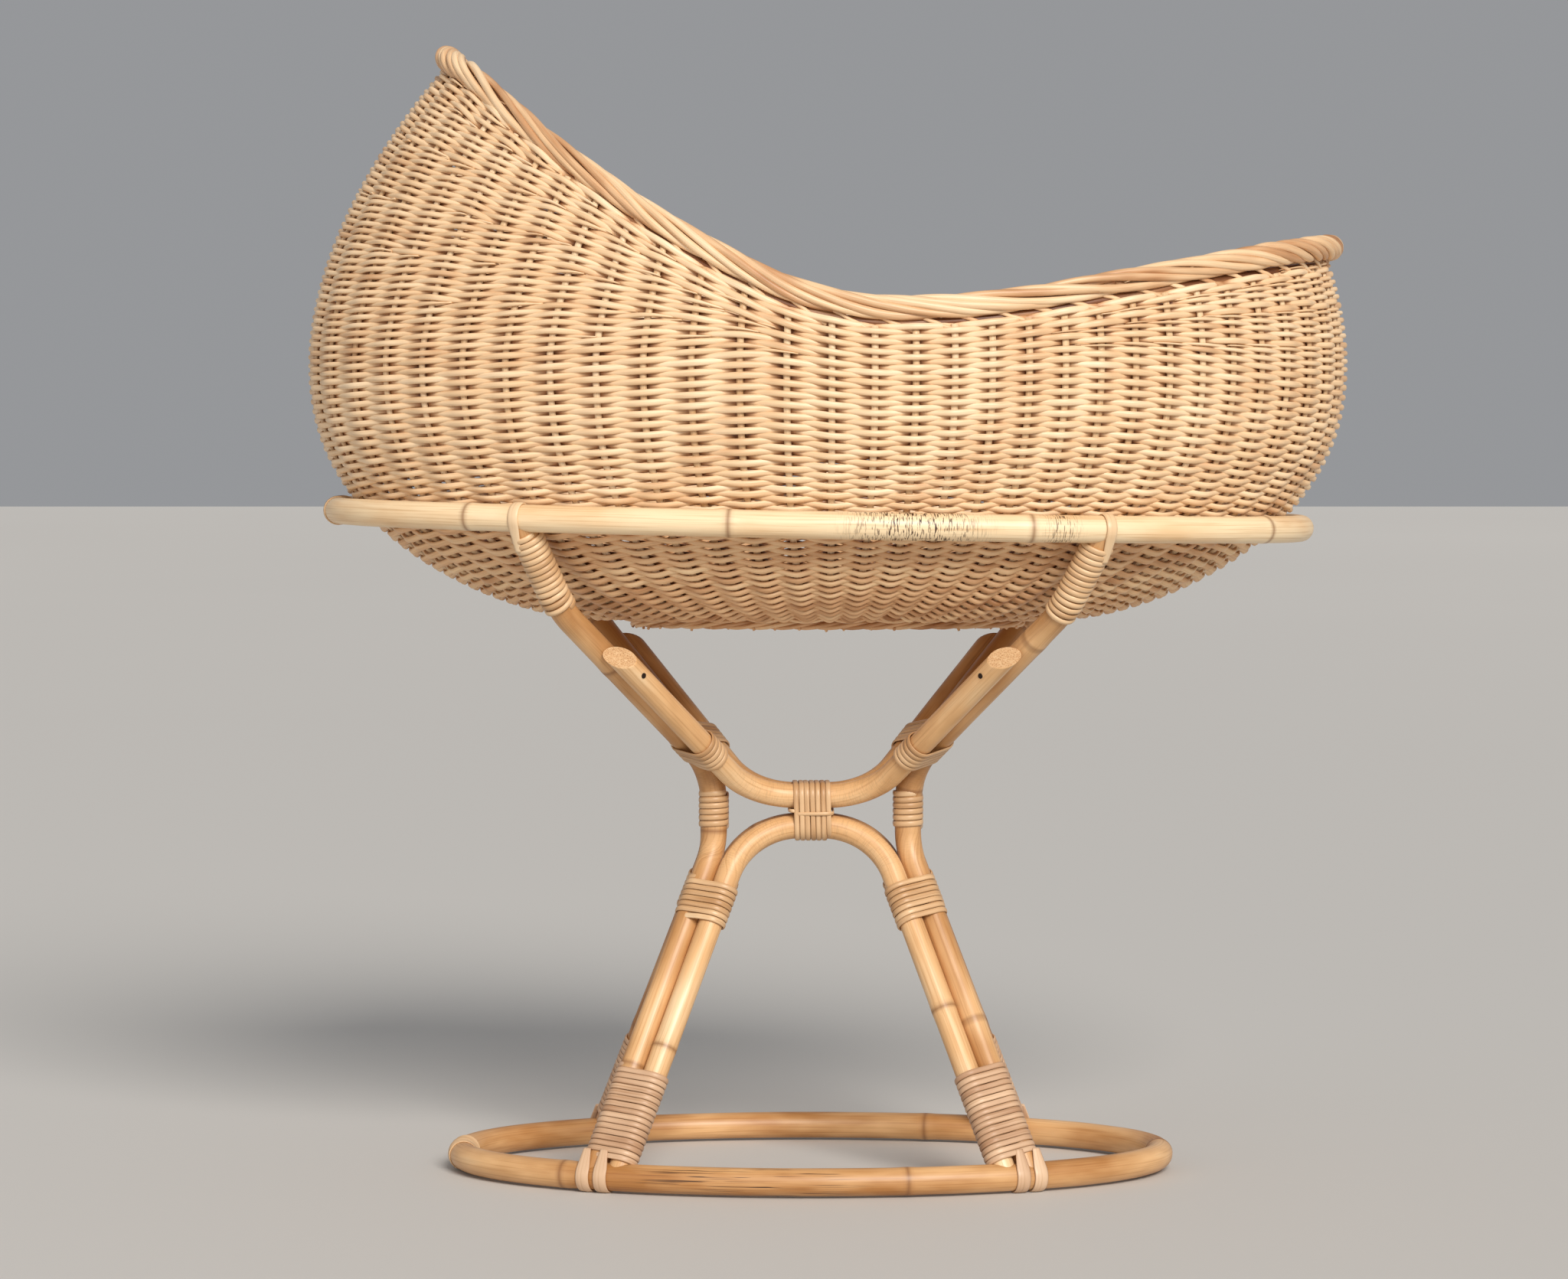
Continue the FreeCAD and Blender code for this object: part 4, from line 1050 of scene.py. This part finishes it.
def wind_pair(first, second, reach, turns):
    """A strand round two straight runs that start at given points, its middle at reach along them."""
    axis = unit(first[1] + second[1])
    middle = (first[0] + second[0]) / 2 + axis * reach

    def cane_at(run, way):
        start, heading = run
        return start + heading * ((middle + axis * way - start).dot(axis) / heading.dot(axis))

    across = unit(cane_at(second, 0) - cane_at(first, 0))
    deep = np.cross(axis, across)
    half = turns * peel_pitch / 2
    spans = [np.linalg.norm(cane_at(second, way) - cane_at(first, way)) / 2 for way in (-half, half)]

    def centre_at(way):
        return (cane_at(first, way) + cane_at(second, way)) / 2

    return wind(centre_at, across, deep, max(spans) + leg_radius, leg_radius, leg_radius, turns)


# %% Bindings of each corner
foot_start, upper_reach, lower_reach = 3.0, 40.0, 50.0
head_turns, upper_turns, lower_turns, foot_turns = 14, 5, 7, 16
coil_start, coil_lift, coil_thick, coil_shade, coil_mottle = 3.5, 1.2, 1.5, 0.6, 0.1
nail_setback, nail_head, nail_proud = 24.0, 2.3, 0.5
stand_corners = [(face_name + side_name, side, face)
                 for face_name, face in faces.items() for side_name, side in sides.items()]


def wind_head(path):
    """A strand down a leg's head, from under the hoop to past the knee."""
    down = path[::-1]
    way = along_path(down)
    turn = np.linspace(0, head_turns, head_turns * turn_points + 1)
    at = support.radius + coil_start + turn * peel_pitch
    middle = np.stack([np.interp(at, way, down[:, axis]) for axis in range(3)], -1)
    ahead = unit(np.gradient(middle, axis=0))
    first = unit(np.cross(ahead, up))
    second = np.cross(ahead, first)
    outward = turned_to(full_turn * turn, first, second)
    points = middle + outward * (leg_radius + peel_deep * coil_lift - dive(turn, head_turns))[:, None]
    tint = coil_shade + coil_mottle * drift(len(turn), 2, peel_reach)
    return Bundle().sweep(points, outward, peel_across, peel_deep * coil_thick, sides=10, tint=tint)


nails = Bundle()
for where, side, face in stand_corners:
    leg = leg_points(side, face)
    arch_top, arch_foot = arch_arm(side, face)
    corner, end = brace_arm(side, face)
    leg_low = (leg[0], unit(leg[1] - leg[0]))
    leg_high = (leg[2], unit(leg[3] - leg[2]))
    arch_run = (arch_foot, unit(arch_top - arch_foot))
    brace_heading = unit(end - corner)
    brace_run = (corner + brace_heading * (leg[2] - corner).dot(brace_heading), brace_heading)
    build_peel(wind_head(leg_paths[where]), "head_coil", where)
    build_peel(wind_pair(leg_high, brace_run, upper_reach, upper_turns), "upper_binding", where)
    reach = np.linalg.norm(leg[1] - leg[0]) - lower_reach
    build_peel(wind_pair(leg_low, arch_run, reach, lower_turns), "lower_binding", where)
    reach = ground.radius + foot_start + foot_turns * peel_pitch / 2
    build_peel(wind_pair(leg_low, arch_run, reach, foot_turns), "foot_binding", where, foot_peel)
    nailed = end - brace_heading * nail_setback
    to_leg = square_to(leg_high[1], leg[2] - nailed)
    shank = nailed + to_leg * np.linspace(-brace_radius - nail_proud, 0, 4)[:, None]
    nails.sweep(shank, brace_heading, nail_head, nail_head, sides=16)
nails.build("brace_nail_heads", "stand", [iron], ["brace_nails"], "iron")

# %% [markdown]
# ## Straps and common bindings
#
# A strap goes over the hoop with both tails along the leg, under the coil. At the waist peel holds the front
# and back legs together, in the middle it holds the four crowns, and a lash is drawn round it.

# %% Straps
strap_across, foot_strap_across, strap_deep = 4.6, 6.0, 1.0
strap_show, strap_under, foot_strap_out = 8.0, 6, 4
bow_steps, tail_steps, tail_share = 33, 12, 0.55
strap_shade = (0.5, 0.1)


def strap(bundle, hoop, centre, pull, tail, across):
    """A flat strap round a hoop on the side that pull points to, with two tails the other way."""
    along = hoop.heading(centre)
    pull = square_to(along, pull)
    aside = np.cross(along, pull)
    angle = np.linspace(-math.pi / 2, math.pi / 2, bow_steps)
    bow = turned_to(angle, pull, aside)
    tails = np.linspace(1, 0, tail_steps, endpoint=False)[:, None] * tail
    outward = np.concatenate([np.repeat(bow[:1], tail_steps, 0), bow, np.repeat(bow[-1:], tail_steps, 0)])
    path = outward * (hoop.radius + strap_deep)
    path[:tail_steps] -= pull * tails
    path[-tail_steps:] -= pull * tails[::-1]
    widening = np.linspace(tail_share, 1, tail_steps)
    narrow = np.concatenate([widening, np.ones(bow_steps), widening[::-1]])
    tint = dice.normal(*strap_shade)
    bundle.sweep(centre + path, outward, across * narrow, strap_deep, sides=12, tint=tint)


for where, side, face in stand_corners:
    leg = leg_points(side, face)
    top_strap = Bundle()
    tail = support.radius + strap_show + strap_under
    strap(top_strap, support, leg[4], leg[4] - leg[3], tail, strap_across)
    build_peel(top_strap, "hoop_strap", where)
    foot_straps = Bundle()
    _, arch_foot = arch_arm(side, face)
    for x in (leg[0][0] + foot_strap_out * side, (leg[0][0] + arch_foot[0]) / 2):
        spot = ground.point(x, face)
        strap(foot_straps, ground, spot, leg[0] - leg[1], ground.radius + strap_show, foot_strap_across)
    build_peel(foot_straps, "foot_straps", where, foot_peel)

# %% Waist, centre and lash
x_axis, y_axis = np.array([1.0, 0, 0]), np.array([0, 1.0, 0])
waist_turns, centre_turns, centre_pitch, centre_strip = 6, 7, 4.6, (2.2, 0.9)
lash_half, lash_over, lash_corner, lash_pitch, lash_strip = 18.0, 2.0, 5.0, 3.0, (1.6, 0.9)
for side_name, side in sides.items():
    middle = np.array([stand_x + side * waist_spread, 0, (waist_low + waist_high) / 2])
    strand = wind(lambda way: middle + up * way, y_axis, -x_axis, waist_depth + leg_radius, leg_radius,
                  leg_radius, waist_turns)
    build_peel(strand, "waist_binding", side_name)
middle = np.array([stand_x, 0, (brace_crown + arch_crown) / 2])
centre_high = (brace_crown - arch_crown) / 2 + brace_radius
centre_deep = brace_depth + brace_radius
strand = wind(lambda way: middle + x_axis * way, y_axis, up, centre_deep, centre_high, brace_radius,
              centre_turns, centre_pitch, centre_strip)
build_peel(strand, "centre_binding")
strand = wind(lambda way: middle + up * way, x_axis, y_axis, lash_half, centre_deep + lash_over, lash_corner,
              1, lash_pitch, lash_strip)
build_peel(strand, "centre_lash")

# %% Threads at the joints of the hoops
thread_pitch, thread_points, thread_lift, thread_share, thread_deep = 2.0, 24, 0.5, 0.46, 0.6


def wind_thread(name, node, hoop, turns):
    """Fine peel wound over the joint at the head end of a hoop."""
    turn = np.linspace(0, turns, turns * thread_points + 1)
    angle = math.pi + (turn - turns / 2) * thread_pitch / hoop.reach[1]
    middle, out = oval(hoop.centre, hoop.reach, angle, hoop.drop)
    outward = turned_to(full_turn * turn, out, up)
    path = middle + outward * (hoop.radius + thread_lift)
    thread = Bundle().sweep(path, outward, thread_pitch * thread_share, thread_deep, sides=6, tint=0.6)
    thread.build(name, "stand", [peel], [node], "thread")


wind_thread("hoop_joint_peel", "hoop_joint_thread", support, 24)
wind_thread("base_joint_peel", "base_joint_thread", ground, 18)

# %% [markdown]
# ## Floor, light and camera
#
# A pale floor and large soft lamps keep attention on the weave. The camera stands where the photograph was
# taken from: low, four metres off and almost level, with a long lens.

# %% Floor
floor_paint, tree = new_material("pale_matt_floor")
mottle = add(tree, "TexNoise", {"Scale": 3.0, "Detail": 4.0})
stops = [(0.3, colour("#CFCDC9")), (0.7, colour("#D5D3CF"))]
paint = add(tree, "ValToRGB", {"Fac": mottle.outputs["Fac"]}, stops)
surface(tree, {"Base Color": paint.outputs["Color"], "Roughness": 0.7})
floor_mesh = bpy.data.meshes.new("floor")
floor_half = 30.0
corners = [(x * floor_half, y * floor_half, 0.0) for x, y in ((-1, -1), (1, -1), (1, 1), (-1, 1))]
floor_mesh.from_pydata(corners, [], [(0, 1, 2, 3)])
floor_mesh.materials.append(floor_paint)
floor = place_object("floor", floor_mesh)
floor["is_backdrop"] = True
print("floor is", 2 * floor_half, "m wide")

# %% Light
world = bpy.data.worlds.new("studio")
world.use_nodes = True
sky = world.node_tree.nodes["Background"].inputs
sky["Color"].default_value, sky["Strength"].default_value = colour("#E2E4E8"), 0.4
scene.world = world
scene.view_settings.view_transform = "Standard"


def lamp(name, kind, place, target, power, tone, **settings):
    """A soft lamp aimed at a target."""
    light = bpy.data.lights.new(name, kind)
    light.energy, light.color = power, colour(tone)[:3]
    for setting, value in settings.items():
        setattr(light, setting, value)
    made = place_object(name, light)
    made.location = place
    aim = Vector(target) - Vector(place)
    made.rotation_euler = aim.to_track_quat("-Z", "Y").to_euler()


# The key is a broad sun from the front right, and the fill a soft panel on the left.
lamp("key", "SUN", (0.8, -2.4, 2.0), (0, 0, 0.4), 3.1, "#FFF9F2", angle=math.radians(28))
lamp("fill", "AREA", (-2.6, -2.8, 1.2), (0, 0, 0.5), 15, "#FFF6F2", size=2.4)
print("key and fill lamps made")

# %% Camera
# The focal length and the horizon are measured in pixels of the photograph.
photo_width, photo_height = 2048, 1671
focal_pixels = 6430
horizon = 540
camera_data = bpy.data.cameras.new("camera")
camera_data.sensor_width = 36.0
camera_data.lens = camera_data.sensor_width * focal_pixels / photo_width
camera = place_object("camera", camera_data)
camera.location = (-0.037, -4.2, 0.647)
tilt = math.atan((photo_height / 2 - horizon) / focal_pixels)
camera.rotation_euler = (math.pi / 2 - tilt, 0, 0)
scene.camera = camera
print("lens", round(camera_data.lens, 1), "mm, tilt", round(math.degrees(tilt), 2), "degrees")

# %% Sizes for the record
low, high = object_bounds()
print("visual box from", tuple(low), "to", tuple(high))
